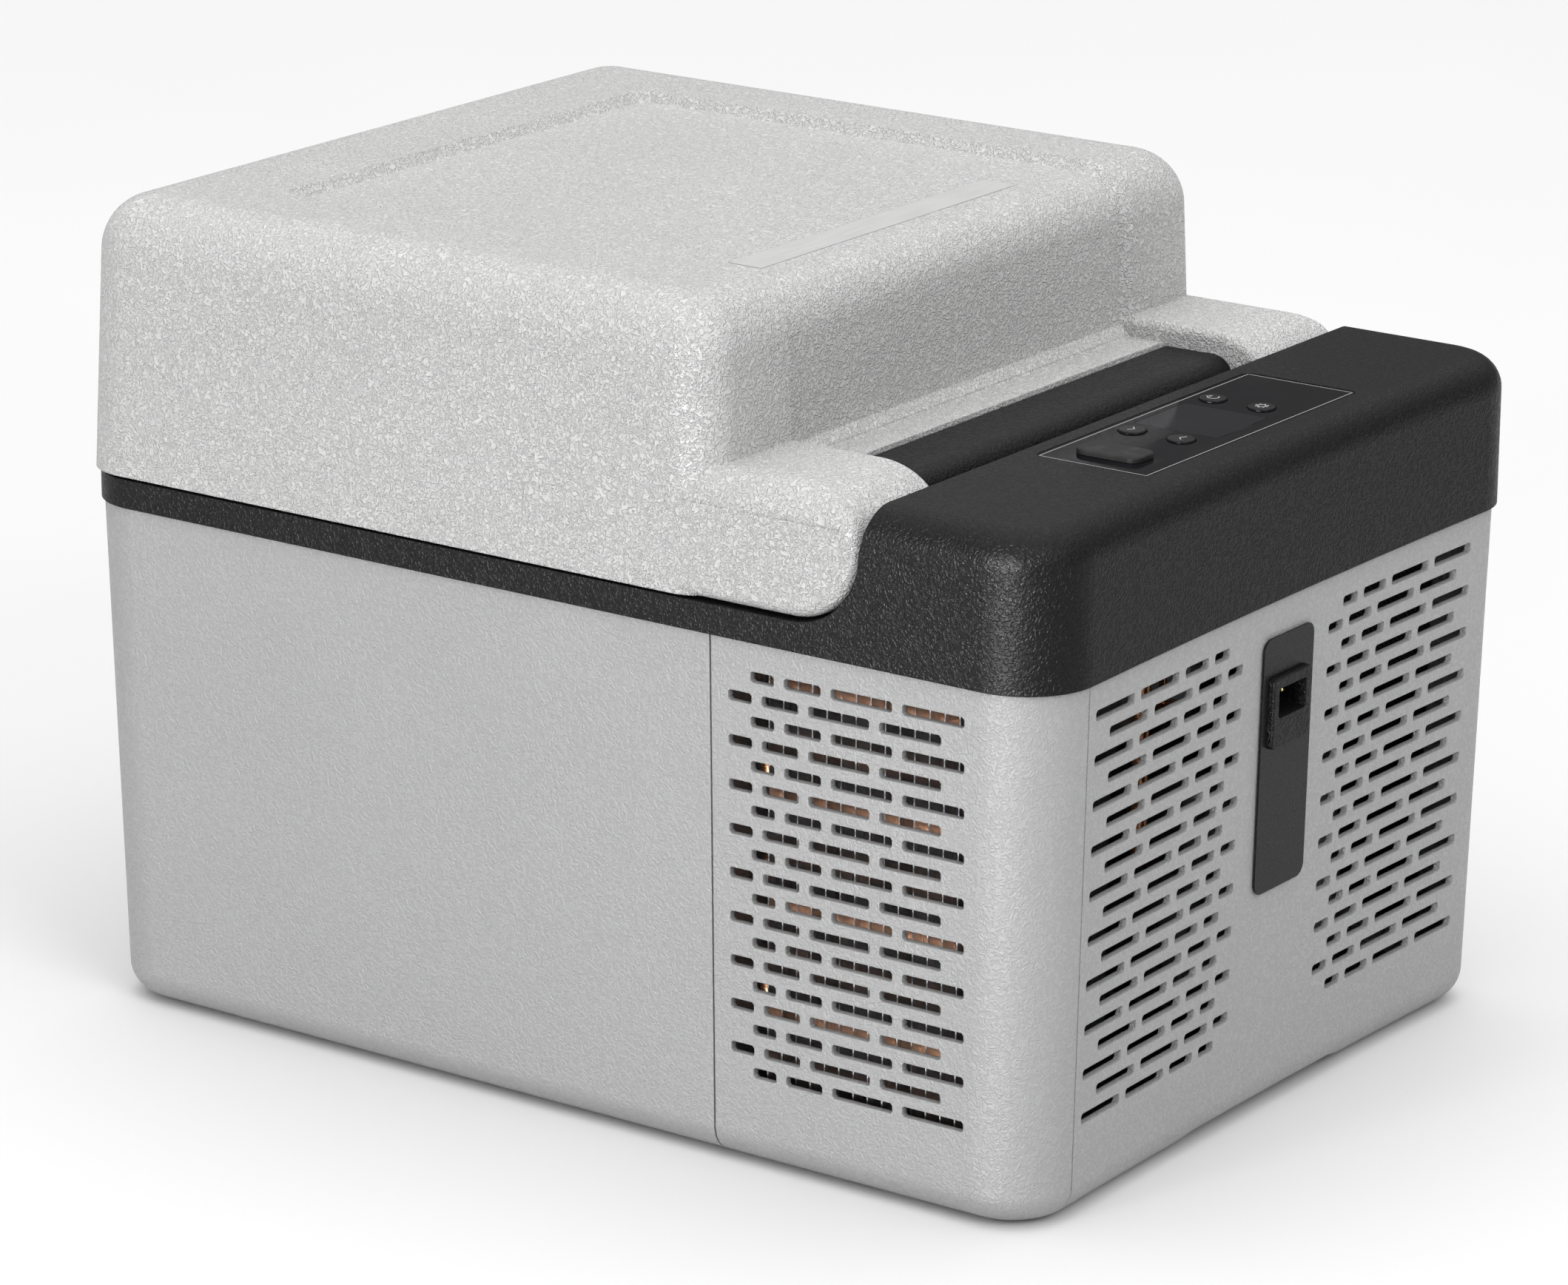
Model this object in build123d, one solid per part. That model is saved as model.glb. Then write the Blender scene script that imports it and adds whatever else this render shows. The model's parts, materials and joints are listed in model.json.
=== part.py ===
"""Portable compressor cooler fridge, in millimetres.

+Z is up, +X points to the compressor end, and the origin is the middle of the footprint on the floor.
The lid's hinge axis runs along Y at the compressor end, so the lid opens towards +X.
"""
from build123d import *
from math import cos, radians, sin, tan
import os

# ---- overall size -------------------------------------------------------------------------------
FAR = 300.0                  # beyond the whole object, for blocks that trim others
HALF_LENGTH = 211.3          # body, at the rim
HALF_WIDTH = 157.7           # body, at the rim
RIM_Z = 192.4                # top edge of the body shells
BODY_FLOOR_Z = 1.0           # underside of the body, on its feet
BODY_TAPER = 1.1             # degrees, the body narrows downwards
CORNER_R = 25.0
FLOOR_FILLET = 12.0
END_BOW = 3.0                # the compressor end curves in by this much at its middle
WALL = 2.8
SEAM_X = 74.0                # between the tub and the compressor cover
SEAM_GAP = 0.7
ARCH_HALF = 46.0             # raised middle of the underside, between the corner pads
ARCH_FOOT_HALF = 66.0
ARCH_RISE = 5.3

# ---- vents --------------------------------------------------------------------------------------
VENT_PITCH = 8.0
VENT_ROWS = 19
VENT_HEIGHT = 3.9
VENT_TOP_Z = 182.0
VENT_LONG = 25.0
VENT_MEDIUM = 15.2
VENT_SHORT = 9.8
VENT_GAP = 4.1
VENT_SHIFT = 9.3             # every second row is moved along by this much
VENT_CORNER = 0.8
SIDE_VENT_END_X = 178.0      # end of the long slot nearest the corner, on the sides
END_VENT_END_Y = 125.3       # the same on the compressor end

# ---- black top frame ----------------------------------------------------------------------------
BAND_PROUD = 1.2
BAND_BOTTOM_Z = 192.5
DECK_Z = 203.2
DECK_THICK = 3.0
CAP_TOP_Z = 247.4
CAP_EDGE_X = 139.7           # top edge of the cap's wall that faces the hinge
CAP_FILLET = 12.0
CAP_WALL = 3.0
PANEL_X = (146.0, 192.6)
PANEL_HALF_Y = 69.8
PANEL_DEPTH = 1.6

# ---- hinge --------------------------------------------------------------------------------------
HINGE_X = 108.0
HINGE_Z = 231.0
ARM_END_R = 26.8
POCKET_R = 27.8
ARM_INNER_Y = 106.0
PIN_R = 4.0
PIN_CLEARANCE = 0.05
PIN_HALF_LENGTH = 16.0
HINGE_COVER_X = (89.2, 118.5)
HINGE_COVER_Z = 241.2
HINGE_COVER_END_GAP = 0.8

# ---- lid ----------------------------------------------------------------------------------------
LID_BOTTOM_Z = HINGE_Z - ARM_END_R
LID_TOP_Z = 305.2
LID_TAPER = 2.0
LID_HALF_WIDTH = HALF_WIDTH + BAND_PROUD
LID_BACK_X = -212.4
LID_BACK_R = 22.0
LID_WALL_X = 74.6            # upper wall over the arms, measured at the lid's lower edge
LID_WALL_R = 16.0
LID_TOP_FILLET = 21.0
ARM_TOP_Z = 249.5
ARM_OUTER_FILLET = 12.0
ARM_INNER_FILLET = 3.5
ARM_END_FILLET = 4.0
ARM_REACH_X = 160.0             # beyond the ends of the arms
LEDGE_Z = 242.0
LEDGE_EDGE_X = 87.7
LEDGE_LIP = 2.2
TRAY_DEPTH = 3.6
TRAY_HALF_Y = 109.0
TRAY_BACK_X = -153.5
LID_SKIN = 3.0

# ---- cold compartment ---------------------------------------------------------------------------
LINER_X = (-172.0, 34.0)     # inner faces
LINER_HALF_Y = 118.0
LINER_FLOOR_Z = 38.0
LINER_WALL = 1.8
LINER_R = 18.0
FLANGE_WIDTH = 9.0
FLANGE_THICK = 1.1
GASKET_OFFSET = (3.0, 8.0)   # inner and outer edge of the seal, out from the opening
LID_PANEL_Z = (210.5, 212.5)
PLUG_INSET = 6.0
PLUG_BOTTOM_Z = 190.0
PLUG_R = 14.0
EVAPORATOR_Z = (66.0, 158.0)
EVAPORATOR_SPACE = 18.0      # free width round the liner for the plate and its tube
EVAPORATOR_TURNS = 4

# ---- compressor compartment ---------------------------------------------------------------------
PAN_TOP_Z = 10.6
PAN_THICK = 1.5
COMPRESSOR_X = 146.0
COMPRESSOR_Y = 62.0
COMPRESSOR_R = 43.0
COMPRESSOR_Z = (24.6, 118.0)
MOUNT_SPAN = 41.0
MOUNT_HEIGHT = 12.0
CONDENSER_X = (92.0, 184.0)
CONDENSER_Y = (-148.0, -114.0)
CONDENSER_Z = (PAN_TOP_Z, 180.0)
CONDENSER_ROWS = 8
CONDENSER_TUBE_R = 3.0
FIN_PITCH = 6.0
FIN_THICK = 0.5
FAN_X = 146.0
FAN_Z = 100.0
FAN_Y = (-114.0, -89.0)
FAN_SIZE = 92.0
FAN_BORE_R = 43.5
FAN_HUB_R = 17.0
FAN_BLADES = 7

# ---- sockets and buttons ------------------------------------------------------------------------
PLATE_HALF_Y = 16.5
PLATE_Z = (85.0, 179.0)
PLATE_R = 4.5
PLATE_THICK = 0.6
SOCKET_HALF_Y = 12.5
END_SEAT = 0.05              # the socket and its plate stand this far off the curved end face
SOCKET_Z = (138.5, 164.5)
SOCKET_PROUD = 2.8
SOCKET_MOUTH_HALF_Y = 9.2
SOCKET_MOUTH_Z = (149.5, 160.5)
SOCKET_DEPTH = 14.0
SOCKET_BODY_WALL = 1.8
SOCKET_BACK = 2.0            # thickness behind the mouth
CONTACT_R = 1.0
CONTACT_SPACING = 5.5
CONTACT_LENGTH = 7.0
BUTTON_X = (156.0, 176.0)
BUTTON_Y = (-22.0, 31.0)
BUTTON_R = 5.0
BUTTON_GAP = 0.3
BUTTON_PROUD = 0.8
BUTTON_TRAVEL = 0.5
WINDOW_X = (150.5, 185.0)
WINDOW_Y = (-13.0, 21.0)
WINDOW_GAP = 0.15
USB_X = 168.0
USB_Y = -52.0
USB_COVER_SIZE = (26.0, 14.0)
USB_COVER_PROUD = 2.0
USB_SHELL = (14.6, 7.6)
USB_MOUTH = (13.0, 5.6)
USB_DEPTH = 15.0

# ---- pieces inside, by place --------------------------------------------------------------------
PIPE_R = 3.0
PIPE_HOLE_R = 3.4
LIQUID_INLET = (100.0, 76.0)     # y and z of the evaporator's pipes through the bulkhead
SUCTION_OUTLET = (-20.0, 136.0)
PIPE_END_X = 80.0
BOARD_X = (77.5, 79.1)
BOARD_Y = (10.0, 100.0)
BOARD_Z = (125.0, 190.0)
DRIER_PLACE = (84.0, 118.0)
DRIER_R = 8.0
DRIER_Z = (40.0, 100.0)
DISPLAY_BOARD_Z = (238.5, 240.1)
SWITCH_HEIGHT = 1.4
FOOT_PLACES = ((-165.0, 113.0), (165.0, 113.0))
FOOT_R = 10.0
SCREW_PLACES = ((86.0, 128.0), (179.0, 128.0))
SCREW_R = 2.0
SCREW_HEAD_R = 4.0
SCREW_HEAD_HEIGHT = 1.6
PARTING_Y = -130.0               # thin moulding line on the compressor end
PARTING_WIDTH = 0.5
PARTING_DEPTH = 0.4
GRIP_HALF_Y = 40.0               # finger recess under the front edge of the lid
GRIP_DEPTH = 5.0
GRIP_HEIGHT = 4.5

# ---- shapes of single pieces --------------------------------------------------------------------
PANEL_R = 4.0
PANEL_LEDGE = 3.4
PANEL_TOP_Z = CAP_TOP_Z - 0.2
HINGE_COVER_FILLET = 8.0
PIN_SEAT_CLEARANCE = 0.02
PIN_BOSS_R = 8.0
PIN_BOSS_LENGTH = 16.0
TRAY_CORNER_R = 5.0
TRAY_ABOVE = 3.0                 # how far the tray's cutter reaches out of the surface
ARM_TOP_SHIFT = 2.0              # the top quarter of the arm's end is centred past the axis
ARM_ROOT_X = 20.0
ARM_ROOM_INSET = 6.0
LEDGE_WALL_X = 84.0
LEDGE_SLOPE_X = (69.3, 73.8)
PLUG_FILLET = 8.0
GASKET_ROUND = 1.2
LINER_FLOOR_R = 8.0
EVAPORATOR_BEND = 11.0
PAN_X = (80.0, 194.0)
PAN_HALF_Y = 140.0
SUCTION_STUB_Z = 60.0
DISCHARGE_STUB_Z = 80.0
CONDENSER_ROW_TOP = 170.0
CONDENSER_ROW_PITCH = 20.0
FAN_STRUT = 4.0
FAN_SHAFT_R = 1.5
FAN_TWIST = 35.0
FAN_CHORD = 16.0
DISPLAY_BOARD_X = (144.0, 194.0)
DISPLAY_BOARD_Y = (-42.0, 64.0)
USB_TONGUE_DEPTH = 5.0
TERMINAL_BLOCK = (10.0, (34.0, 46.0), (148.0, 162.0))    # height off the board, then y and z
CABLE_PLUG = (6.0, (48.0, 62.0), (178.0, 188.0))
INDUCTOR = (12.0, (70.0, 92.0), (130.0, 160.0))
CAPACITOR = (9.0, (14.0, 26.0), (132.0, 146.0))
BOARD_COMPONENTS = (TERMINAL_BLOCK, CABLE_PLUG, INDUCTOR, CAPACITOR)
CABLE_RISE_X = 165.0


def rounded_plan(x_low, x_high, half_y, r_low, r_high, bow=0.0):
    """A rectangle with rounded corners whose +X side may curve in by bow."""
    lower = Line((x_high, -half_y), (x_low, -half_y))
    back = Line((x_low, -half_y), (x_low, half_y))
    upper = Line((x_low, half_y), (x_high, half_y))
    if bow:
        front = ThreePointArc((x_high, half_y), (x_high - bow, 0), (x_high, -half_y))
    else:
        front = Line((x_high, half_y), (x_high, -half_y))
    face = make_face([lower, back, upper, front])
    low = [v for v in face.vertices() if v.X < x_low + 1]
    face = fillet(low, r_low) if r_low else face
    high = [v for v in face.vertices() if v.X > x_high - 1]
    return fillet(high, r_high) if r_high else face


def tapered_block(x, half_y, z, radii, bow=0.0, taper=0.0):
    """A block between heights z[0] and z[1] whose sides lean in from the first height to the second."""
    height = abs(z[1] - z[0])
    up = 1 if z[1] > z[0] else -1
    lean = radians(taper)
    shrink = height * tan(lean)
    across = Polyline((-half_y, 0), (half_y, 0), (half_y - shrink, up * height),
                      (-half_y + shrink, up * height), close=True)
    along = Polyline((x[0], 0), (x[1], 0), (x[1] - (0 if bow else shrink), up * height),
                     (x[0] + shrink, up * height), close=True)
    solid = extrude(Plane.YZ * make_face(across), amount=2 * HALF_LENGTH, both=True)
    solid &= extrude(Plane.XZ * make_face(along), amount=2 * HALF_LENGTH, both=True)
    if bow:
        bow_r = (half_y ** 2 + bow ** 2) / (2 * bow)
        solid -= Pos(x[1] - bow + bow_r, 0, 0) * Rot(0, -up * taper, 0) * Cylinder(bow_r, 4 * height)
    upright = [e for e in solid.edges() if abs(e.tangent_at(0.5).Z) > 0.9]
    high_end = [e for e in upright if e.center().X > sum(x) / 2]
    solid = fillet(high_end, radii[1]) if radii[1] else solid
    low_end = [e for e in solid.edges()
               if abs(e.tangent_at(0.5).Z) > 0.9 and e.center().X < x[0] + shrink + 1]
    solid = fillet(low_end, radii[0]) if radii[0] else solid
    return Pos(0, 0, z[0]) * solid


def box(x, y, z):
    """A box between two corners, given as ranges."""
    size = (x[1] - x[0], y[1] - y[0], z[1] - z[0])
    return Pos((x[0] + x[1]) / 2, (y[0] + y[1]) / 2, (z[0] + z[1]) / 2) * Box(*size)


def rounded_box(x, y, z, radius):
    """A box with its four upright edges rounded."""
    return fillet(box(x, y, z).edges().filter_by(Axis.Z), radius)


def block(x, half_y, z, radius, bow=0.0):
    """An upright block whose plan has rounded corners."""
    plan = rounded_plan(x[0], x[1], half_y, radius, radius, bow)
    return Pos(0, 0, z[0]) * extrude(plan, amount=z[1] - z[0])


def rod(start, end, radius):
    """A round rod between two points."""
    direction = Vector(*end) - Vector(*start)
    return Plane(origin=start, z_dir=direction) * Cylinder(
        radius, direction.length, align=(Align.CENTER, Align.CENTER, Align.MIN))


def tube_path(points, bend, radius):
    """A tube along straight runs joined by bends."""
    path = FilletPolyline(*points, radius=bend)
    return sweep(Plane(origin=path @ 0, z_dir=path % 0) * Circle(radius), path=path)


def profile_solid(edges, y):
    """An outline in the XZ plane, pulled between two places along Y."""
    face = Plane.XZ * make_face(edges)
    return Pos(0, y[1], 0) * extrude(face, amount=y[1] - y[0])


def mirrored_pair(solid):
    """A solid and its mirror image across the middle plane."""
    return [solid, mirror(solid, about=Plane.XZ)]


# ---- body shells --------------------------------------------------------------------------------
def arch(thickness):
    """The channel under the body, between the pads, grown by a wall thickness."""
    top = BODY_FLOOR_Z + ARCH_RISE + thickness
    base = BODY_FLOOR_Z + thickness
    inner = ARCH_HALF + thickness
    foot = ARCH_FOOT_HALF + thickness
    outline = Polyline((-foot, 0), (-foot, base), (-inner, top), (inner, top), (foot, base), (foot, 0),
                       close=True)
    return extrude(Plane.YZ * make_face(outline), amount=HALF_LENGTH + 10, both=True)


def body_block(inset):
    """The whole outer body, moved in by a wall thickness."""
    x = (-HALF_LENGTH + inset, HALF_LENGTH - inset)
    z = (RIM_Z, BODY_FLOOR_Z + inset)
    radius = CORNER_R - inset
    solid = tapered_block(x, HALF_WIDTH - inset, z, (radius, radius), END_BOW, BODY_TAPER)
    solid = fillet(solid.edges().group_by(Axis.Z)[0], FLOOR_FILLET - inset)
    return solid - arch(inset)


def end_plane(z):
    """The middle of the compressor end at a height: its own X runs along +Y, and its own Y upwards."""
    lean = radians(BODY_TAPER)
    x = HALF_LENGTH - END_BOW - (RIM_Z - z) * tan(lean) + END_SEAT
    return Plane(origin=(x, 0, z), x_dir=(0, 1, 0), z_dir=(cos(lean), 0, -sin(lean)))


def vent_slot(length):
    """One slot with its corners cut off."""
    return chamfer(Rectangle(length, VENT_HEIGHT).vertices(), VENT_CORNER)


def vent_rows(end, direction):
    """Rows of slots that start at the end slot and run against direction, every second row moved."""
    slots = []
    for row in range(VENT_ROWS):
        z = VENT_TOP_Z - row * VENT_PITCH - VENT_HEIGHT / 2
        edge = end - direction * VENT_SHIFT * (row % 2)
        for length in (VENT_LONG, VENT_LONG, VENT_MEDIUM, VENT_SHORT):
            slots.append(Pos(edge - direction * length / 2, z) * vent_slot(length))
            edge -= direction * (length + VENT_GAP)
    return slots


def vents():
    """Every vent slot, as cutters through both sides and through the compressor end."""
    through = HALF_WIDTH + 10
    cutters = [extrude(Plane.XZ * slot, amount=through, both=True) for slot in vent_rows(SIDE_VENT_END_X, 1)]
    end = Pos(HALF_LENGTH - END_BOW / 2, 0, 0)
    for slot in vent_rows(-END_VENT_END_Y, -1):
        cutters += mirrored_pair(end * extrude(Plane.YZ * slot, amount=3 * WALL, both=True))
    return cutters


def tub_shell():
    """The outer skin round the cold compartment, closed by a bulkhead towards the compressor."""
    end = SEAM_X - SEAM_GAP / 2
    shell = body_block(0) & box((-FAR, end), (-FAR, FAR), (0, FAR))
    shell -= body_block(WALL) & box((-FAR, end - WALL), (-FAR, FAR), (0, FAR))
    for y, z in (LIQUID_INLET, SUCTION_OUTLET):
        shell -= rod((end - 2 * WALL, y, z), (end + WALL, y, z), PIPE_HOLE_R)
    return shell


def compressor_cover():
    """The outer skin round the compressor, with the vents and the hole for the power socket."""
    start = SEAM_X + SEAM_GAP / 2
    shell = body_block(0) & box((start, FAR), (-FAR, FAR), (0, FAR))
    shell -= body_block(WALL) & box((start - 1, FAR), (-FAR, FAR), (0, FAR))
    shell -= end_plane(socket_middle()) * Box(socket_body()[0] + 0.4, socket_body()[1] + 0.4, 4 * WALL)
    line_y = (PARTING_Y - PARTING_WIDTH / 2, PARTING_Y + PARTING_WIDTH / 2)
    shell -= box((HALF_LENGTH / 2, FAR), line_y, (0, FAR)) - body_block(PARTING_DEPTH)
    for x, y in SCREW_PLACES:
        for side in (-y, y):
            shell -= Pos(x, side, 0) * Cylinder(SCREW_R + 0.2, 60)
            shell -= Pos(x, side, 0) * Cylinder(SCREW_HEAD_R + 0.3, 2 * (BODY_FLOOR_Z + SCREW_HEAD_HEIGHT))
    return shell - vents()


def rubber_feet():
    """Four round feet, glued under the corner pads."""
    feet = []
    for x, y in FOOT_PLACES:
        for side in (-y, y):
            foot = Pos(x, side, BODY_FLOOR_Z / 2) * Cylinder(FOOT_R, BODY_FLOOR_Z)
            feet.append(chamfer(foot.edges().group_by(Axis.Z)[0], 0.5))
    return Compound(children=feet)


# ---- black frame, cap and hinge -----------------------------------------------------------------
def frame_block(inset, top, top_fillet):
    """The frame's outer form at full height, moved in by a wall thickness."""
    x = (-HALF_LENGTH - BAND_PROUD + inset, HALF_LENGTH + BAND_PROUD - inset)
    half_y = HALF_WIDTH + BAND_PROUD - inset
    solid = block(x, half_y, (BAND_BOTTOM_Z, top), CORNER_R + BAND_PROUD - inset, END_BOW)
    return fillet(solid.edges().group_by(Axis.Z)[-1], top_fillet)


def cap_side(inset):
    """Everything on the cap's side of its leaning wall, moved in by a wall thickness."""
    foot_x = HINGE_X + POCKET_R + inset
    lean = (CAP_EDGE_X + inset - foot_x) / (CAP_TOP_Z - HINGE_Z)
    low_x = foot_x - lean * (HINGE_Z - BAND_BOTTOM_Z)
    high_x = foot_x + lean * (FAR - HINGE_Z)
    outline = Polyline((low_x, BAND_BOTTOM_Z), (high_x, FAR), (FAR, FAR), (FAR, BAND_BOTTOM_Z), close=True)
    return extrude(Plane.XZ * make_face(outline), amount=FAR, both=True)


def arm_pockets(radius, inner_y):
    """Two cylinders round the hinge axis that leave room for the lid's arms."""
    length = FAR - inner_y
    pocket = Pos(HINGE_X, inner_y + length / 2, HINGE_Z) * Rot(90, 0, 0) * Cylinder(radius, length)
    return mirrored_pair(pocket)


def top_frame():
    """The black moulding: rim band, deck, and the cap over the compressor end."""
    frame = frame_block(0, CAP_TOP_Z, CAP_FILLET) & cap_side(0)
    inner_y = ARM_INNER_Y - HINGE_COVER_END_GAP
    shoulders = mirrored_pair(box((HINGE_X, HINGE_X + POCKET_R + 1), (inner_y, FAR), (DECK_Z - 1, HINGE_Z)))
    for shoulder in shoulders:
        frame += frame_block(0, CAP_TOP_Z, CAP_FILLET) & shoulder
    frame -= arm_pockets(POCKET_R, inner_y)
    deck = frame_block(0, CAP_TOP_Z, CAP_FILLET) & box((-FAR, FAR), (-FAR, FAR), (0, DECK_Z))
    frame += deck
    hollow = frame_block(CAP_WALL, CAP_TOP_Z - CAP_WALL, CAP_FILLET - CAP_WALL)
    under_cap = hollow & cap_side(CAP_WALL)
    for pocket in arm_pockets(POCKET_R + CAP_WALL, inner_y - CAP_WALL):
        under_cap -= pocket
    frame -= under_cap
    frame -= hollow & box((-FAR, HINGE_X), (-FAR, FAR), (0, DECK_Z - DECK_THICK))
    opening = (LINER_X[0] - LINER_WALL - 0.2, LINER_X[1] + LINER_WALL + 0.2)
    frame -= block(opening, LINER_HALF_Y + LINER_WALL + 0.2, (190, 210), LINER_R + LINER_WALL)
    recess_y = (-PANEL_HALF_Y, PANEL_HALF_Y)
    frame -= rounded_box(PANEL_X, recess_y, (CAP_TOP_Z - PANEL_DEPTH, CAP_TOP_Z + 5), PANEL_R)
    window_x = (PANEL_X[0] + PANEL_LEDGE, PANEL_X[1] - PANEL_LEDGE)
    window_y = (-PANEL_HALF_Y + PANEL_LEDGE, PANEL_HALF_Y - PANEL_LEDGE)
    return frame - rounded_box(window_x, window_y, (CAP_TOP_Z - 2 * CAP_WALL, CAP_TOP_Z), PANEL_R)


def hinge_cover():
    """The block between the lid's arms that carries the hinge pins."""
    half_y = ARM_INNER_Y - HINGE_COVER_END_GAP
    cover = box(HINGE_COVER_X, (-half_y, half_y), (DECK_Z, HINGE_COVER_Z))
    front = cover.edges().filter_by(Axis.Y).sort_by(lambda e: e.center().X + e.center().Z)[-1]
    cover = fillet(front, HINGE_COVER_FILLET)
    back = cover.edges().filter_by(Axis.Y).sort_by(lambda e: e.center().Z - e.center().X)[-1]
    cover = fillet(back, 1.0)
    for bore in hinge_rods(PIN_R + PIN_SEAT_CLEARANCE, -0.5):
        cover -= bore
    return cover


def hinge_rods(radius, shorter):
    """Rods on the hinge axis where the two pins are, shortened or lengthened at both ends."""
    middle = ARM_INNER_Y - HINGE_COVER_END_GAP / 2
    ends = (middle - PIN_HALF_LENGTH + shorter, middle + PIN_HALF_LENGTH - shorter)
    return mirrored_pair(rod((HINGE_X, ends[0], HINGE_Z), (HINGE_X, ends[1], HINGE_Z), radius))


def hinge_pins():
    """Two steel pins, one for each arm."""
    pins = [chamfer(pin.edges(), 0.6) for pin in hinge_rods(PIN_R, 0)]
    return Compound(children=pins)


# ---- lid ----------------------------------------------------------------------------------------
def lid_block():
    """The high part of the lid, before the tray is cut."""
    x = (LID_BACK_X, LID_WALL_X)
    z = (LID_BOTTOM_Z, LID_TOP_Z)
    solid = tapered_block(x, LID_HALF_WIDTH, z, (LID_BACK_R, LID_WALL_R), 0, LID_TAPER)
    return fillet(solid.edges().group_by(Axis.Z)[-1], LID_TOP_FILLET)


def tray_cutter():
    """The shallow tray in the top with 45 degree sides, running on down the wall over the hinge."""
    lean = radians(LID_TAPER)
    rise = LID_TOP_Z - LID_TOP_FILLET - LID_BOTTOM_Z
    centre_x = LID_WALL_X - (LID_TOP_FILLET + sin(lean) * rise) / cos(lean)
    centre = (centre_x, LID_TOP_Z - LID_TOP_FILLET)
    floor = rounded_plan(TRAY_BACK_X + TRAY_DEPTH, centre_x, TRAY_HALF_Y - TRAY_DEPTH, TRAY_CORNER_R, 0)
    wide = TRAY_DEPTH + TRAY_ABOVE
    outer = TRAY_HALF_Y + TRAY_ABOVE
    mouth = rounded_plan(TRAY_BACK_X - TRAY_ABOVE, centre_x, outer, TRAY_CORNER_R + wide, 0)
    ends = [Pos(0, 0, LID_TOP_Z - TRAY_DEPTH) * floor, Pos(0, 0, LID_TOP_Z + TRAY_ABOVE) * mouth]
    flat = loft(ends, ruled=True)
    bend = CenterArc(centre, LID_TOP_FILLET, 90, LID_TAPER - 90)
    wall_length = (bend @ 1).Y - LEDGE_Z - 1
    down = Line(bend @ 1, (bend @ 1) + (bend % 1) * wall_length)
    path = Plane.XZ * Wire([bend, down])
    inner = TRAY_HALF_Y - TRAY_DEPTH
    section = Polyline((-inner, -TRAY_DEPTH), (-outer, TRAY_ABOVE), (outer, TRAY_ABOVE), (inner, -TRAY_DEPTH),
                       close=True)
    start = Plane(origin=(centre_x, 0, LID_TOP_Z), x_dir=(0, 1, 0), z_dir=(1, 0, 0))
    return [flat, sweep(start * make_face(section), path=path)]


def arm_outline(inset):
    """Side view of an arm: a round end about the hinge axis with a flatter top quarter."""
    low_r = ARM_END_R - inset
    top_centre = HINGE_X + ARM_TOP_SHIFT
    top_rx = ARM_END_R - ARM_TOP_SHIFT - inset
    top_rz = ARM_TOP_Z - HINGE_Z - inset
    low_z = HINGE_Z - low_r
    top_z = HINGE_Z + top_rz
    return [CenterArc((HINGE_X, HINGE_Z), low_r, -90, 90),
            EllipticalCenterArc(center=(top_centre, HINGE_Z), x_radius=top_rx, y_radius=top_rz,
                                start_angle=0, arc_size=90),
            Line((top_centre, top_z), (ARM_ROOT_X, top_z)),
            Line((ARM_ROOT_X, top_z), (ARM_ROOT_X, low_z)),
            Line((ARM_ROOT_X, low_z), (HINGE_X, low_z))]


def arm_shoulders():
    """A bar along the hinge end of the lid, its two outer top edges rounded."""
    outer = LID_HALF_WIDTH + 5
    bar = box((0, ARM_REACH_X), (-outer, outer), (LID_BOTTOM_Z - 1, ARM_TOP_Z + 1))
    y = LID_HALF_WIDTH - (ARM_TOP_Z - LID_BOTTOM_Z) * tan(radians(LID_TAPER)) - ARM_OUTER_FILLET
    z = ARM_TOP_Z - ARM_OUTER_FILLET
    corner = box((0, ARM_REACH_X), (y, outer), (z, FAR))
    corner -= rod((0, y, z), (ARM_REACH_X, y, z), ARM_OUTER_FILLET)
    for piece in mirrored_pair(corner):
        bar -= piece
    return bar


def arm_pair():
    """The two arms that reach past the hinge block, outer and inner top edges rounded."""
    solid = profile_solid(arm_outline(0), (-LID_HALF_WIDTH - 5, LID_HALF_WIDTH + 5))
    z = (LID_BOTTOM_Z, LID_BOTTOM_Z + 60)
    plan = tapered_block((0, ARM_REACH_X), LID_HALF_WIDTH, z, (0, 0), 0, LID_TAPER)
    solid &= plan
    solid -= box((0, ARM_REACH_X), (-ARM_INNER_Y, ARM_INNER_Y), (0, FAR))
    outer = [e for e in solid.edges() if abs(e.center().Y) > ARM_INNER_Y + 40
             and e.center().Z > HINGE_Z - 1 and e.center().X > ARM_ROOT_X + 5]
    solid = fillet(outer, ARM_END_FILLET) & arm_shoulders()
    inner = [e for e in solid.edges() if abs(abs(e.center().Y) - ARM_INNER_Y) < 0.1
             and e.center().Z > HINGE_Z - 1 and e.center().X > ARM_ROOT_X + 5]
    return fillet(inner, ARM_INNER_FILLET)


def ledge_block(inset):
    """The lid between the arms: a wall with a lip over the hinge block, and a slope up to the tray."""
    slope = LEDGE_SLOPE_X[1] - LEDGE_SLOPE_X[0]
    low = LID_BOTTOM_Z
    if inset:
        room = (LEDGE_SLOPE_X[0] - 10, LEDGE_WALL_X - inset)
        return box(room, (-ARM_INNER_Y + inset, ARM_INNER_Y - inset), (low - 1, LEDGE_Z - inset))
    outline = Polyline((ARM_ROOT_X, low), (LEDGE_WALL_X, low), (LEDGE_WALL_X, LEDGE_Z - LEDGE_LIP),
                       (LEDGE_EDGE_X, LEDGE_Z - LEDGE_LIP), (LEDGE_EDGE_X, LEDGE_Z),
                       (LEDGE_SLOPE_X[1], LEDGE_Z),
                       (LEDGE_SLOPE_X[0], LEDGE_Z + slope), (ARM_ROOT_X, LEDGE_Z + slope), close=True)
    return profile_solid([outline], (-ARM_INNER_Y, ARM_INNER_Y))


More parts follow.
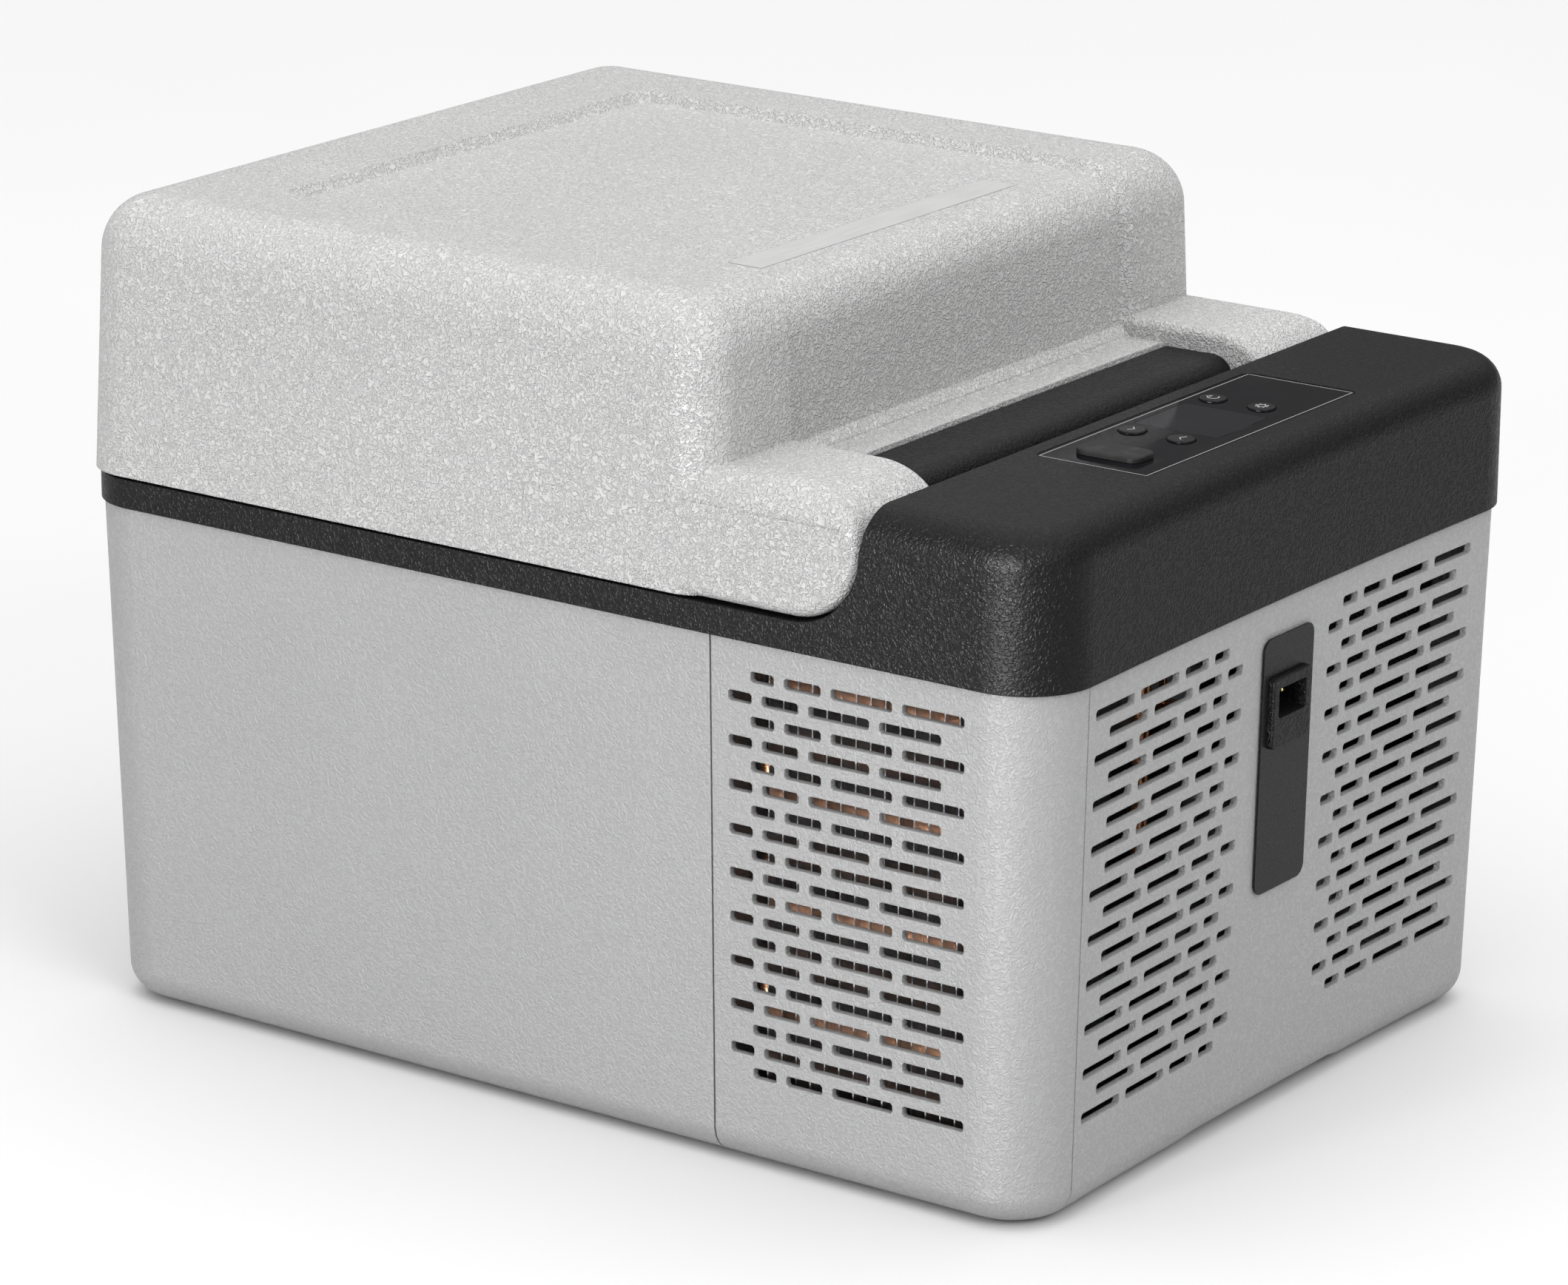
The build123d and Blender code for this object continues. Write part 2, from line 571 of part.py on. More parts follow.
def lid_room(gap, top_gap):
    """The room inside the high part of the lid, made smaller by a gap."""
    inset = LID_SKIN + gap
    x = (LID_BACK_X + inset, LID_WALL_X - TRAY_DEPTH - inset)
    z = (LID_BOTTOM_Z, LID_TOP_Z - TRAY_DEPTH - LID_SKIN - top_gap)
    radii = (LID_BACK_R - inset, LID_WALL_R - inset)
    solid = tapered_block(x, LID_HALF_WIDTH - inset, z, radii, 0, LID_TAPER)
    return fillet(solid.edges().group_by(Axis.Z)[-1], LID_TOP_FILLET - inset)


def arm_rooms():
    """The hollows in the arms, less the bosses that carry the hinge pins."""
    outer = LID_HALF_WIDTH - ARM_ROOM_INSET
    inner = ARM_INNER_Y + LID_SKIN
    room = profile_solid(arm_outline(ARM_ROOM_INSET), (inner, outer))
    boss = Rot(90, 0, 0) * Cylinder(PIN_BOSS_R, PIN_BOSS_LENGTH)
    room -= Pos(HINGE_X, inner + PIN_BOSS_LENGTH / 2, HINGE_Z) * boss
    return mirrored_pair(room)


def lid_shell():
    """The lid's outer moulding, one piece with its two arms."""
    lid = lid_block()
    for cutter in tray_cutter():
        lid -= cutter
    lid = lid + arm_pair() + ledge_block(0)
    lid -= lid_room(0, 0)
    lid -= ledge_block(LID_SKIN)
    for room in arm_rooms():
        lid -= room
    for bore in hinge_rods(PIN_R + PIN_CLEARANCE, -0.5):
        lid -= bore
    grip_x = (LID_BACK_X + LID_SKIN / 2, LID_BACK_X + GRIP_DEPTH + LID_SKIN)
    half_y = GRIP_HALF_Y + LID_SKIN
    lid += box(grip_x, (-half_y, half_y), (LID_BOTTOM_Z, LID_PANEL_Z[0] - 0.2))
    grip = box((LID_BACK_X - 5, LID_BACK_X + GRIP_DEPTH), (-GRIP_HALF_Y, GRIP_HALF_Y),
               (LID_BOTTOM_Z - 5, LID_BOTTOM_Z + GRIP_HEIGHT))
    return lid - grip


def opening_block(offset, z, radius):
    """A block as wide as the cold compartment's opening plus an offset."""
    x = (LINER_X[0] - offset, LINER_X[1] + offset)
    return block(x, LINER_HALF_Y + offset, z, radius)


def lid_inner_panel():
    """The lid's underside, with the hollow plug that drops into the compartment."""
    gap = LID_SKIN + 0.5
    plan = rounded_plan(LID_BACK_X + gap, LID_WALL_X - TRAY_DEPTH - gap, LID_HALF_WIDTH - gap,
                        LID_BACK_R - gap, LID_WALL_R - gap)
    plate = Pos(0, 0, LID_PANEL_Z[0]) * extrude(plan, amount=LID_PANEL_Z[1] - LID_PANEL_Z[0])
    plate += box((LEDGE_SLOPE_X[0] - 10, LEDGE_WALL_X - gap),
                 (-ARM_INNER_Y + gap, ARM_INNER_Y - gap), LID_PANEL_Z)
    plug = opening_block(-PLUG_INSET, (PLUG_BOTTOM_Z, LID_PANEL_Z[1]), PLUG_R)
    plug = fillet(plug.edges().group_by(Axis.Z)[0], PLUG_FILLET)
    plate += plug
    skin = LID_PANEL_Z[1] - LID_PANEL_Z[0]
    inner = opening_block(-PLUG_INSET - skin, (PLUG_BOTTOM_Z + skin, LID_PANEL_Z[1] + 1), PLUG_R - skin)
    return plate - fillet(inner.edges().group_by(Axis.Z)[0], PLUG_FILLET - skin)


def lid_foam():
    """Insulation that fills the lid and its plug."""
    foam = lid_room(0.4, 0.4) & box((-FAR, FAR), (-FAR, FAR), (LID_PANEL_Z[1], 400))
    skin = LID_PANEL_Z[1] - LID_PANEL_Z[0] + 0.4
    plug = opening_block(-PLUG_INSET - skin, (PLUG_BOTTOM_Z + skin, LID_PANEL_Z[1]), PLUG_R - skin)
    return foam + fillet(plug.edges().group_by(Axis.Z)[0], PLUG_FILLET - skin)


def lid_gasket():
    """The rubber seal under the lid, round the opening."""
    z = (DECK_Z + FLANGE_THICK + 0.3, LID_PANEL_Z[0])
    ring = opening_block(GASKET_OFFSET[1], z, LINER_R + GASKET_OFFSET[1])
    ring -= opening_block(GASKET_OFFSET[0], (z[0] - 1, z[1] + 1), LINER_R + GASKET_OFFSET[0])
    return fillet(ring.edges().group_by(Axis.Z)[0], GASKET_ROUND)


# ---- cold compartment ---------------------------------------------------------------------------
def inner_liner():
    """The compartment's moulded tub, with a flange that rests on the deck."""
    outer = opening_block(LINER_WALL, (LINER_FLOOR_Z - LINER_WALL, DECK_Z), LINER_R + LINER_WALL)
    outer = fillet(outer.edges().group_by(Axis.Z)[0], LINER_FLOOR_R + LINER_WALL)
    outer += opening_block(FLANGE_WIDTH, (DECK_Z, DECK_Z + FLANGE_THICK), LINER_R + FLANGE_WIDTH)
    inner = opening_block(0, (LINER_FLOOR_Z, DECK_Z + 5), LINER_R)
    return outer - fillet(inner.edges().group_by(Axis.Z)[0], LINER_FLOOR_R)


def tub_foam():
    """Insulation between the liner and the outer skin, with room for the evaporator."""
    end = SEAM_X - SEAM_GAP / 2 - WALL
    foam = body_block(WALL + 0.3) & box((-FAR, end - 0.3), (-FAR, FAR), (0, RIM_Z - 0.2))
    foam -= opening_block(LINER_WALL + 0.2, (LINER_FLOOR_Z - LINER_WALL, RIM_Z + 5), LINER_R + LINER_WALL)
    foam -= opening_block(LINER_WALL + EVAPORATOR_SPACE, EVAPORATOR_Z, EVAPORATOR_BEND)
    for y, z in (LIQUID_INLET, SUCTION_OUTLET):
        foam -= rod((LINER_X[1], y, z), (end + 1, y, z), PIPE_HOLE_R)
    return foam


def evaporator_plate():
    """Thin aluminium sheet wrapped round the liner."""
    z = (EVAPORATOR_Z[0] + 4, EVAPORATOR_Z[1] - 4)
    sheet = opening_block(LINER_WALL + 1.4, z, LINER_R + LINER_WALL + 1.4)
    return sheet - opening_block(LINER_WALL + 0.2, (z[0] - 1, z[1] + 1), LINER_R + LINER_WALL + 0.2)


def evaporator_tube():
    """One tube that climbs round the liner in turns, with both ends led out to the compressor."""
    offset = LINER_WALL + 1.6 + PIPE_R
    x_low, x_high = LINER_X[0] - offset, LINER_X[1] + offset
    half_y = LINER_HALF_Y + offset
    pitch = (SUCTION_OUTLET[1] - LIQUID_INLET[1]) / (EVAPORATOR_TURNS - 1)
    points = [(PIPE_END_X, LIQUID_INLET[0], LIQUID_INLET[1]), (x_high, LIQUID_INLET[0], LIQUID_INLET[1])]
    for turn in range(EVAPORATOR_TURNS):
        z = LIQUID_INLET[1] + pitch * turn
        points += [(x_high, half_y, z), (x_low, half_y, z), (x_low, -half_y, z), (x_high, -half_y, z)]
    points += [(x_high, *SUCTION_OUTLET), (PIPE_END_X, *SUCTION_OUTLET)]
    return tube_path(points, EVAPORATOR_BEND, PIPE_R)


# ---- refrigeration ------------------------------------------------------------------------------
def base_pan():
    """Steel plate that the compressor and the condenser stand on."""
    plate = rounded_box(PAN_X, (-PAN_HALF_Y, PAN_HALF_Y), (PAN_TOP_Z - PAN_THICK, PAN_TOP_Z), 12)
    for x, y in SCREW_PLACES:
        for side in (-y, y):
            plate -= Pos(x, side, PAN_TOP_Z) * Cylinder(SCREW_R + 0.05, 10)
    return plate


def base_screws():
    """Four screws through the cover's floor into the pan."""
    screws = []
    for x, y in SCREW_PLACES:
        for side in (-y, y):
            head_z = BODY_FLOOR_Z + SCREW_HEAD_HEIGHT / 2
            head = Pos(x, side, head_z) * Cylinder(SCREW_HEAD_R, SCREW_HEAD_HEIGHT)
            head -= Pos(x, side, BODY_FLOOR_Z) * Box(0.9, 2 * SCREW_HEAD_R - 2, 1.4)
            head -= Pos(x, side, BODY_FLOOR_Z) * Box(2 * SCREW_HEAD_R - 2, 0.9, 1.4)
            shaft = rod((x, side, BODY_FLOOR_Z + SCREW_HEAD_HEIGHT / 2), (x, side, PAN_TOP_Z + 3), SCREW_R)
            screws.append(head + shaft)
    return Compound(children=screws)


def compressor():
    """Two drawn cups welded at a flange, on a square foot plate, with its pipe stubs."""
    seam_z = (COMPRESSOR_Z[0] + COMPRESSOR_Z[1]) / 2
    foot_z = PAN_TOP_Z + MOUNT_HEIGHT
    low_height = seam_z - foot_z
    low = Pos(0, 0, foot_z + low_height / 2) * Cylinder(COMPRESSOR_R, low_height)
    low = fillet(low.edges().group_by(Axis.Z)[0], 10)
    high_height = COMPRESSOR_Z[1] - seam_z
    high = Pos(0, 0, seam_z + high_height / 2) * Cylinder(COMPRESSOR_R - 1.5, high_height)
    high = fillet(high.edges().group_by(Axis.Z)[-1], 20)
    flange = Pos(0, 0, seam_z) * Cylinder(COMPRESSOR_R + 2, 4)
    half = MOUNT_SPAN + 7
    foot = rounded_box((-half, half), (-half, half), (foot_z, foot_z + 2), 8)
    for x in (-MOUNT_SPAN, MOUNT_SPAN):
        for y in (-MOUNT_SPAN, MOUNT_SPAN):
            foot -= Pos(x, y, foot_z) * Cylinder(3, 10)
    body = Pos(COMPRESSOR_X, COMPRESSOR_Y, 0) * (low + high + flange + foot)
    suction = rod((COMPRESSOR_X - COMPRESSOR_R - 6, COMPRESSOR_Y, SUCTION_STUB_Z),
                  (COMPRESSOR_X - COMPRESSOR_R + 8, COMPRESSOR_Y, SUCTION_STUB_Z), PIPE_R + 0.8)
    discharge = rod((COMPRESSOR_X, COMPRESSOR_Y - COMPRESSOR_R - 6, DISCHARGE_STUB_Z),
                    (COMPRESSOR_X, COMPRESSOR_Y - COMPRESSOR_R + 8, DISCHARGE_STUB_Z), PIPE_R + 0.8)
    return body + suction + discharge


def terminal_cover():
    """The plastic cap over the compressor's electrical terminals."""
    y = (COMPRESSOR_Y + COMPRESSOR_R - 8, COMPRESSOR_Y + COMPRESSOR_R + 14)
    cover = rounded_box((COMPRESSOR_X - 17, COMPRESSOR_X + 17), y, (36, 64), 3)
    return cover - Pos(COMPRESSOR_X, COMPRESSOR_Y, 50) * Cylinder(COMPRESSOR_R + 0.2, 80)


def compressor_mounts():
    """Four rubber grommets between the pan and the compressor's foot plate."""
    mounts = []
    for x in (-MOUNT_SPAN, MOUNT_SPAN):
        for y in (-MOUNT_SPAN, MOUNT_SPAN):
            place = Pos(COMPRESSOR_X + x, COMPRESSOR_Y + y, PAN_TOP_Z + MOUNT_HEIGHT / 2)
            mount = Cylinder(6.5, MOUNT_HEIGHT) - Cylinder(2.5, MOUNT_HEIGHT)
            waist = Cylinder(8, 3) - Cylinder(4.8, 3)
            mounts.append(place * (mount - waist))
    return Compound(children=mounts)


def condenser_rows():
    """Heights of the condenser's straight tubes, from the top."""
    return [CONDENSER_ROW_TOP - CONDENSER_ROW_PITCH * row for row in range(CONDENSER_ROWS)]


def condenser_coil():
    """A tube that runs to and fro through the fins."""
    y = sum(CONDENSER_Y) / 2
    near = CONDENSER_X[0] - 2 - CONDENSER_ROW_PITCH / 2
    far = CONDENSER_X[1] + 2 + CONDENSER_ROW_PITCH / 2
    points = [(CONDENSER_X[0] - 2, y, CONDENSER_ROW_TOP)]
    for row, z in enumerate(condenser_rows()[:-1]):
        turn_x = far if row % 2 == 0 else near
        points += [(turn_x, y, z), (turn_x, y, z - CONDENSER_ROW_PITCH)]
    points.append((CONDENSER_X[0] - 2, y, condenser_rows()[-1]))
    return tube_path(points, CONDENSER_ROW_PITCH / 2 - 0.05, CONDENSER_TUBE_R)


def condenser_fins():
    """Thin plates on the condenser's tubes, standing on the pan."""
    holes = [Pos(0, sum(CONDENSER_Y) / 2, z) * Rot(0, 90, 0) * Cylinder(CONDENSER_TUBE_R + 0.02, 5)
             for z in condenser_rows()]
    fins = []
    count = int((CONDENSER_X[1] - CONDENSER_X[0]) / FIN_PITCH) + 1
    plate = box((-FIN_THICK / 2, FIN_THICK / 2), CONDENSER_Y, (PAN_TOP_Z, CONDENSER_Z[1])) - holes
    for index in range(count):
        fins.append(Pos(CONDENSER_X[0] + FIN_PITCH * index, 0, 0) * plate)
    return Compound(children=fins)


def filter_drier():
    """A copper cylinder with drawn-in ends."""
    x, y = DRIER_PLACE
    drier = rod((x, y, DRIER_Z[0]), (x, y, DRIER_Z[1]), DRIER_R)
    return fillet(drier.edges(), DRIER_R - PIPE_R - 1)


def refrigerant_pipes():
    """Discharge, liquid, capillary and suction lines."""
    condenser_y = sum(CONDENSER_Y) / 2
    condenser_x = CONDENSER_X[0] - 2
    drier_x, drier_y = DRIER_PLACE
    low_z = condenser_rows()[-1]
    stub_y = COMPRESSOR_Y - COMPRESSOR_R - 6
    riser_y = stub_y - 9
    discharge = [(COMPRESSOR_X, stub_y, DISCHARGE_STUB_Z), (COMPRESSOR_X, riser_y, DISCHARGE_STUB_Z),
                 (COMPRESSOR_X, riser_y, CONDENSER_ROW_TOP), (drier_x, riser_y, CONDENSER_ROW_TOP),
                 (drier_x, condenser_y, CONDENSER_ROW_TOP), (condenser_x, condenser_y, CONDENSER_ROW_TOP)]
    liquid = [(condenser_x, condenser_y, low_z), (drier_x, condenser_y, low_z), (drier_x, drier_y, low_z),
              (drier_x, drier_y, DRIER_Z[0])]
    capillary = [(drier_x, drier_y, DRIER_Z[1]), (drier_x, drier_y, DRIER_Z[1] + 12),
                 (drier_x, LIQUID_INLET[0], DRIER_Z[1] + 12), (drier_x, LIQUID_INLET[0], LIQUID_INLET[1]),
                 (PIPE_END_X, LIQUID_INLET[0], LIQUID_INLET[1])]
    suction_x = COMPRESSOR_X - COMPRESSOR_R - 14
    suction = [(PIPE_END_X, *SUCTION_OUTLET), (suction_x, *SUCTION_OUTLET),
               (suction_x, SUCTION_OUTLET[0], SUCTION_STUB_Z), (suction_x, COMPRESSOR_Y, SUCTION_STUB_Z),
               (COMPRESSOR_X - COMPRESSOR_R - 6, COMPRESSOR_Y, SUCTION_STUB_Z)]
    return Compound(children=[tube_path(discharge, 5, PIPE_R), tube_path(liquid, 5, PIPE_R),
                              tube_path(capillary, 3, 1.5), tube_path(suction, 6, PIPE_R)])


def fan_frame():
    """Square fan housing with a motor hub on four struts, fixed behind the condenser."""
    half = FAN_SIZE / 2
    frame = box((FAN_X - half, FAN_X + half), FAN_Y, (FAN_Z - half, FAN_Z + half))
    along = Rot(90, 0, 0)
    middle_y = sum(FAN_Y) / 2
    frame -= Pos(FAN_X, middle_y, FAN_Z) * along * Cylinder(FAN_BORE_R, 60)
    back_y = FAN_Y[1] - FAN_STRUT / 2
    spider = Pos(FAN_X, back_y, FAN_Z) * along * Cylinder(FAN_HUB_R, FAN_STRUT)
    for angle in (45, 135, 225, 315):
        strut = box((FAN_HUB_R - 2, FAN_BORE_R + 2), (-FAN_STRUT / 2, FAN_STRUT / 2), (-1.5, 1.5))
        spider += Pos(FAN_X, back_y, FAN_Z) * Rot(0, angle, 0) * strut
    frame += spider
    bore_y = (FAN_Y[1] - FAN_STRUT - 1, FAN_Y[1] - 1)
    return frame - rod((FAN_X, bore_y[0], FAN_Z), (FAN_X, bore_y[1], FAN_Z), FAN_SHAFT_R + 0.05)


def fan_rotor():
    """Hub, twisted blades and shaft."""
    hub_y = (FAN_Y[0] + 2.5, FAN_Y[1] - FAN_STRUT - 1)
    middle = sum(hub_y) / 2
    blade_length = FAN_BORE_R - FAN_HUB_R - 0.5
    rotor = rod((FAN_X, hub_y[0], FAN_Z), (FAN_X, hub_y[1], FAN_Z), FAN_HUB_R)
    rotor = fillet(rotor.edges().sort_by(Axis.Y)[0], 3)
    rotor += rod((FAN_X, hub_y[1] - 2, FAN_Z), (FAN_X, FAN_Y[1] - 1.4, FAN_Z), FAN_SHAFT_R)
    for index in range(FAN_BLADES):
        blade = Rot(0, 0, FAN_TWIST) * Box(FAN_CHORD, 1.4, blade_length)
        blade = Pos(0, 0, FAN_HUB_R - 1 + blade_length / 2) * blade
        rotor += Pos(FAN_X, middle, FAN_Z) * Rot(0, 360 / FAN_BLADES * index, 0) * blade
    return rotor


# ---- electrics ----------------------------------------------------------------------------------
def control_board():
    """Circuit board on standoffs beside the bulkhead, with its larger components."""
    board = box(BOARD_X, BOARD_Y, BOARD_Z)
    face = SEAM_X - SEAM_GAP / 2
    for y in (BOARD_Y[0] + 5, BOARD_Y[1] - 5):
        for z in (BOARD_Z[0] + 5, BOARD_Z[1] - 5):
            board += rod((face, y, z), (BOARD_X[0] + 0.5, y, z), 3)
    front = BOARD_X[1] - 0.2
    for depth, y, z in BOARD_COMPONENTS:
        board += box((front, front + depth), y, z)
    return board


def display_board():
    """Circuit board under the control panel, hung from the cap, with a switch under each button."""
    board = box(DISPLAY_BOARD_X, DISPLAY_BOARD_Y, DISPLAY_BOARD_Z)
    for post_x in (DISPLAY_BOARD_X[0] + 3, DISPLAY_BOARD_X[1] - 3):
        for post_y in (DISPLAY_BOARD_Y[0] + 4, DISPLAY_BOARD_Y[1] - 4):
            board += rod((post_x, post_y, DISPLAY_BOARD_Z[0]), (post_x, post_y, CAP_TOP_Z - CAP_WALL), 2.5)
    for place_x in BUTTON_X:
        for place_y in BUTTON_Y:
            board += Pos(place_x, place_y, DISPLAY_BOARD_Z[1] + SWITCH_HEIGHT / 2) * Box(6, 6, SWITCH_HEIGHT)
    board += box((WINDOW_X[0] + 3, WINDOW_X[1] - 3), (WINDOW_Y[0] + 3, WINDOW_Y[1] - 3),
                 (DISPLAY_BOARD_Z[1], DISPLAY_BOARD_Z[1] + 4.2))
    return board


def control_panel():
    """Glossy plate in the cap's recess, with openings for the buttons, the display and the USB port."""
    gap = 0.1
    x = (PANEL_X[0] + gap, PANEL_X[1] - gap)
    y = (-PANEL_HALF_Y + gap, PANEL_HALF_Y - gap)
    plate = rounded_box(x, y, (CAP_TOP_Z - PANEL_DEPTH, PANEL_TOP_Z), PANEL_R - gap)
    for place_x in BUTTON_X:
        for place_y in BUTTON_Y:
            plate -= Pos(place_x, place_y, PANEL_TOP_Z) * Cylinder(BUTTON_R + BUTTON_GAP, 10)
    plate -= rounded_box(WINDOW_X, WINDOW_Y, (CAP_TOP_Z - 5, CAP_TOP_Z + 5), 2)
    shell = (USB_X - USB_SHELL[0] / 2 - gap, USB_X + USB_SHELL[0] / 2 + gap)
    shell_y = (USB_Y - USB_SHELL[1] / 2 - gap, USB_Y + USB_SHELL[1] / 2 + gap)
    return plate - box(shell, shell_y, (CAP_TOP_Z - 5, CAP_TOP_Z + 5))


def display_window():
    """The dark lens over the display."""
    gap = WINDOW_GAP
    x = (WINDOW_X[0] + gap, WINDOW_X[1] - gap)
    y = (WINDOW_Y[0] + gap, WINDOW_Y[1] - gap)
    return rounded_box(x, y, (CAP_TOP_Z - PANEL_DEPTH, PANEL_TOP_Z), 2 - gap)


def button(x, y):
    """A domed button with a flange that keeps it under the panel and a stem over its switch."""
    top = PANEL_TOP_Z + BUTTON_PROUD
    flange_z = CAP_TOP_Z - PANEL_DEPTH - 0.2
    cap_height = top - flange_z
    cap = Pos(x, y, flange_z + cap_height / 2) * Cylinder(BUTTON_R, cap_height)
    cap = fillet(cap.edges().group_by(Axis.Z)[-1], BUTTON_PROUD - 0.05)
    cap += Pos(x, y, flange_z - 0.5) * Cylinder(BUTTON_R + 1.2, 1)
    stem_bottom = DISPLAY_BOARD_Z[1] + SWITCH_HEIGHT + BUTTON_TRAVEL + 0.2
    return cap + rod((x, y, stem_bottom), (x, y, flange_z), 1.5)


def usb_socket():
    """Metal shell and tongue of the USB port."""
    x = (USB_X - USB_SHELL[0] / 2, USB_X + USB_SHELL[0] / 2)
    y = (USB_Y - USB_SHELL[1] / 2, USB_Y + USB_SHELL[1] / 2)
    shell = box(x, y, (PANEL_TOP_Z - USB_DEPTH, PANEL_TOP_Z - 0.3))
    mouth_x = (USB_X - USB_MOUTH[0] / 2, USB_X + USB_MOUTH[0] / 2)
    mouth_y = (USB_Y - USB_MOUTH[1] / 2, USB_Y + USB_MOUTH[1] / 2)
    shell -= box(mouth_x, mouth_y, (PANEL_TOP_Z - USB_DEPTH + 1.5, PANEL_TOP_Z + 1))
    tongue_y = (USB_Y - USB_MOUTH[1] / 2 + 0.5, USB_Y - USB_MOUTH[1] / 2 + 2.4)
    tongue_x = (USB_X - USB_MOUTH[0] / 2 + 1, USB_X + USB_MOUTH[0] / 2 - 1)
    return shell + box(tongue_x, tongue_y, (PANEL_TOP_Z - USB_DEPTH + 1, PANEL_TOP_Z - USB_TONGUE_DEPTH))


def usb_cover():
    """Rubber flap over the USB port, hinged along its edge towards the side of the cap."""
    x = (USB_X - USB_COVER_SIZE[0] / 2, USB_X + USB_COVER_SIZE[0] / 2)
    y = (USB_Y - USB_COVER_SIZE[1] / 2, USB_Y + USB_COVER_SIZE[1] / 2)
    low = PANEL_TOP_Z + 0.1
    flap = rounded_box(x, y, (low, low + USB_COVER_PROUD), 4)
    return fillet(flap.edges().group_by(Axis.Z)[-1], 0.9)


def socket_middle():
    """Height of the middle of the power socket's mouth."""
    return sum(SOCKET_MOUTH_Z) / 2


def socket_body():
    """Width and height of the power socket's body behind the cover."""
    wall = 2 * SOCKET_BODY_WALL
    return 2 * SOCKET_MOUTH_HALF_Y + wall, SOCKET_MOUTH_Z[1] - SOCKET_MOUTH_Z[0] + wall


def dc_socket():
    """Power socket: a raised block on the end face and a closed body behind it."""
    middle = socket_middle()
    low, high = SOCKET_Z[0] - middle, SOCKET_Z[1] - middle
    flange = rounded_box((-SOCKET_HALF_Y, SOCKET_HALF_Y), (low, high), (0, SOCKET_PROUD), 2)
    flange = fillet(flange.edges().group_by(Axis.Z)[-1], 0.7)
    width, height = socket_body()
    depth = SOCKET_DEPTH + SOCKET_BACK
    body = Pos(0, 0, (SOCKET_PROUD - depth) / 2) * Box(width, height, depth - SOCKET_PROUD)
    mouth_height = SOCKET_MOUTH_Z[1] - SOCKET_MOUTH_Z[0]
    mouth = Pos(0, 0, SOCKET_PROUD) * Box(2 * SOCKET_MOUTH_HALF_Y, mouth_height, 2 * SOCKET_DEPTH)
    mouth = fillet(mouth.edges().filter_by(Axis.Z), 1.5)
    socket = flange + body - mouth
    for y in (-CONTACT_SPACING, 0, CONTACT_SPACING):
        socket -= Pos(y, 0, SOCKET_PROUD - SOCKET_DEPTH) * Cylinder(CONTACT_R + 0.02, 3)
    return end_plane(middle) * socket


def socket_pins():
    """Three brass contacts in the power socket."""
    pins = []
    for y in (-CONTACT_SPACING, 0, CONTACT_SPACING):
        foot = SOCKET_PROUD - SOCKET_DEPTH - 1.5
        pin = Pos(y, 0, foot + (CONTACT_LENGTH + 1.5) / 2) * Cylinder(CONTACT_R, CONTACT_LENGTH + 1.5)
        pins.append(end_plane(socket_middle()) * chamfer(pin.edges().group_by(Axis.Z)[-1], 0.4))
    return Compound(children=pins)


def socket_plate():
    """Thin plate round the power socket."""
    middle = socket_middle()
    low, high = PLATE_Z[0] - middle, PLATE_Z[1] - middle
    plate = rounded_box((-PLATE_HALF_Y, PLATE_HALF_Y), (low, high), (0, PLATE_THICK), PLATE_R)
    hole = (SOCKET_Z[0] - middle - 0.1, SOCKET_Z[1] - middle + 0.1)
    plate -= rounded_box((-SOCKET_HALF_Y - 0.1, SOCKET_HALF_Y + 0.1), hole, (-1, 2), 2)
    return end_plane(middle) * plate


def dc_leads():
    """Two insulated wires from the power socket to the control board."""
    start_x = (end_plane(socket_middle()) * Pos(0, 0, SOCKET_PROUD - SOCKET_DEPTH - 2)).position.X - 0.3
    end_x = BOARD_X[1] - 0.2 + TERMINAL_BLOCK[0]
    lead_y = sum(TERMINAL_BLOCK[1]) / 2
    leads = []
    for z in (socket_middle() - 2.5, socket_middle() + 2.5):
        points = [(start_x, 0, z), (start_x - 12, 0, z), (start_x - 12, lead_y, z), (end_x, lead_y, z)]
        leads.append(tube_path(points, 8, 1.2))
    return Compound(children=leads)


def panel_cable():
    """Cable from the control board up to the display board."""
    y, z = sum(CABLE_PLUG[1]) / 2, sum(CABLE_PLUG[2]) / 2
    start_x = BOARD_X[1] - 0.2 + CABLE_PLUG[0]
    return tube_path([(start_x, y, z), (CABLE_RISE_X, y, z), (CABLE_RISE_X, y, DISPLAY_BOARD_Z[0])], 15, 2)


PARTS = {
    "tub_shell": tub_shell,
    "compressor_cover": compressor_cover,
    "rubber_feet": rubber_feet,
    "top_frame": top_frame,
    "hinge_cover": hinge_cover,
    "hinge_pins": hinge_pins,
    "lid_shell": lid_shell,
    "lid_inner_panel": lid_inner_panel,
    "lid_foam": lid_foam,
    "lid_gasket": lid_gasket,
    "inner_liner": inner_liner,
    "tub_foam": tub_foam,
    "evaporator_plate": evaporator_plate,
    "evaporator_tube": evaporator_tube,
    "base_pan": base_pan,
    "base_screws": base_screws,
    "compressor": compressor,
    "terminal_cover": terminal_cover,
    "compressor_mounts": compressor_mounts,
    "condenser_coil": condenser_coil,
    "condenser_fins": condenser_fins,
    "filter_drier": filter_drier,
    "refrigerant_pipes": refrigerant_pipes,
    "fan_frame": fan_frame,
    "fan_rotor": fan_rotor,
    "control_board": control_board,
    "display_board": display_board,
    "control_panel": control_panel,
    "display_window": display_window,
    "button_settings": lambda: button(BUTTON_X[1], BUTTON_Y[1]),
    "button_power": lambda: button(BUTTON_X[0], BUTTON_Y[1]),
    "button_up": lambda: button(BUTTON_X[1], BUTTON_Y[0]),
    "button_down": lambda: button(BUTTON_X[0], BUTTON_Y[0]),
    "usb_socket": usb_socket,
    "usb_cover": usb_cover,
    "dc_socket": dc_socket,
    "socket_pins": socket_pins,
    "socket_plate": socket_plate,
    "dc_leads": dc_leads,
    "panel_cable": panel_cable,
}

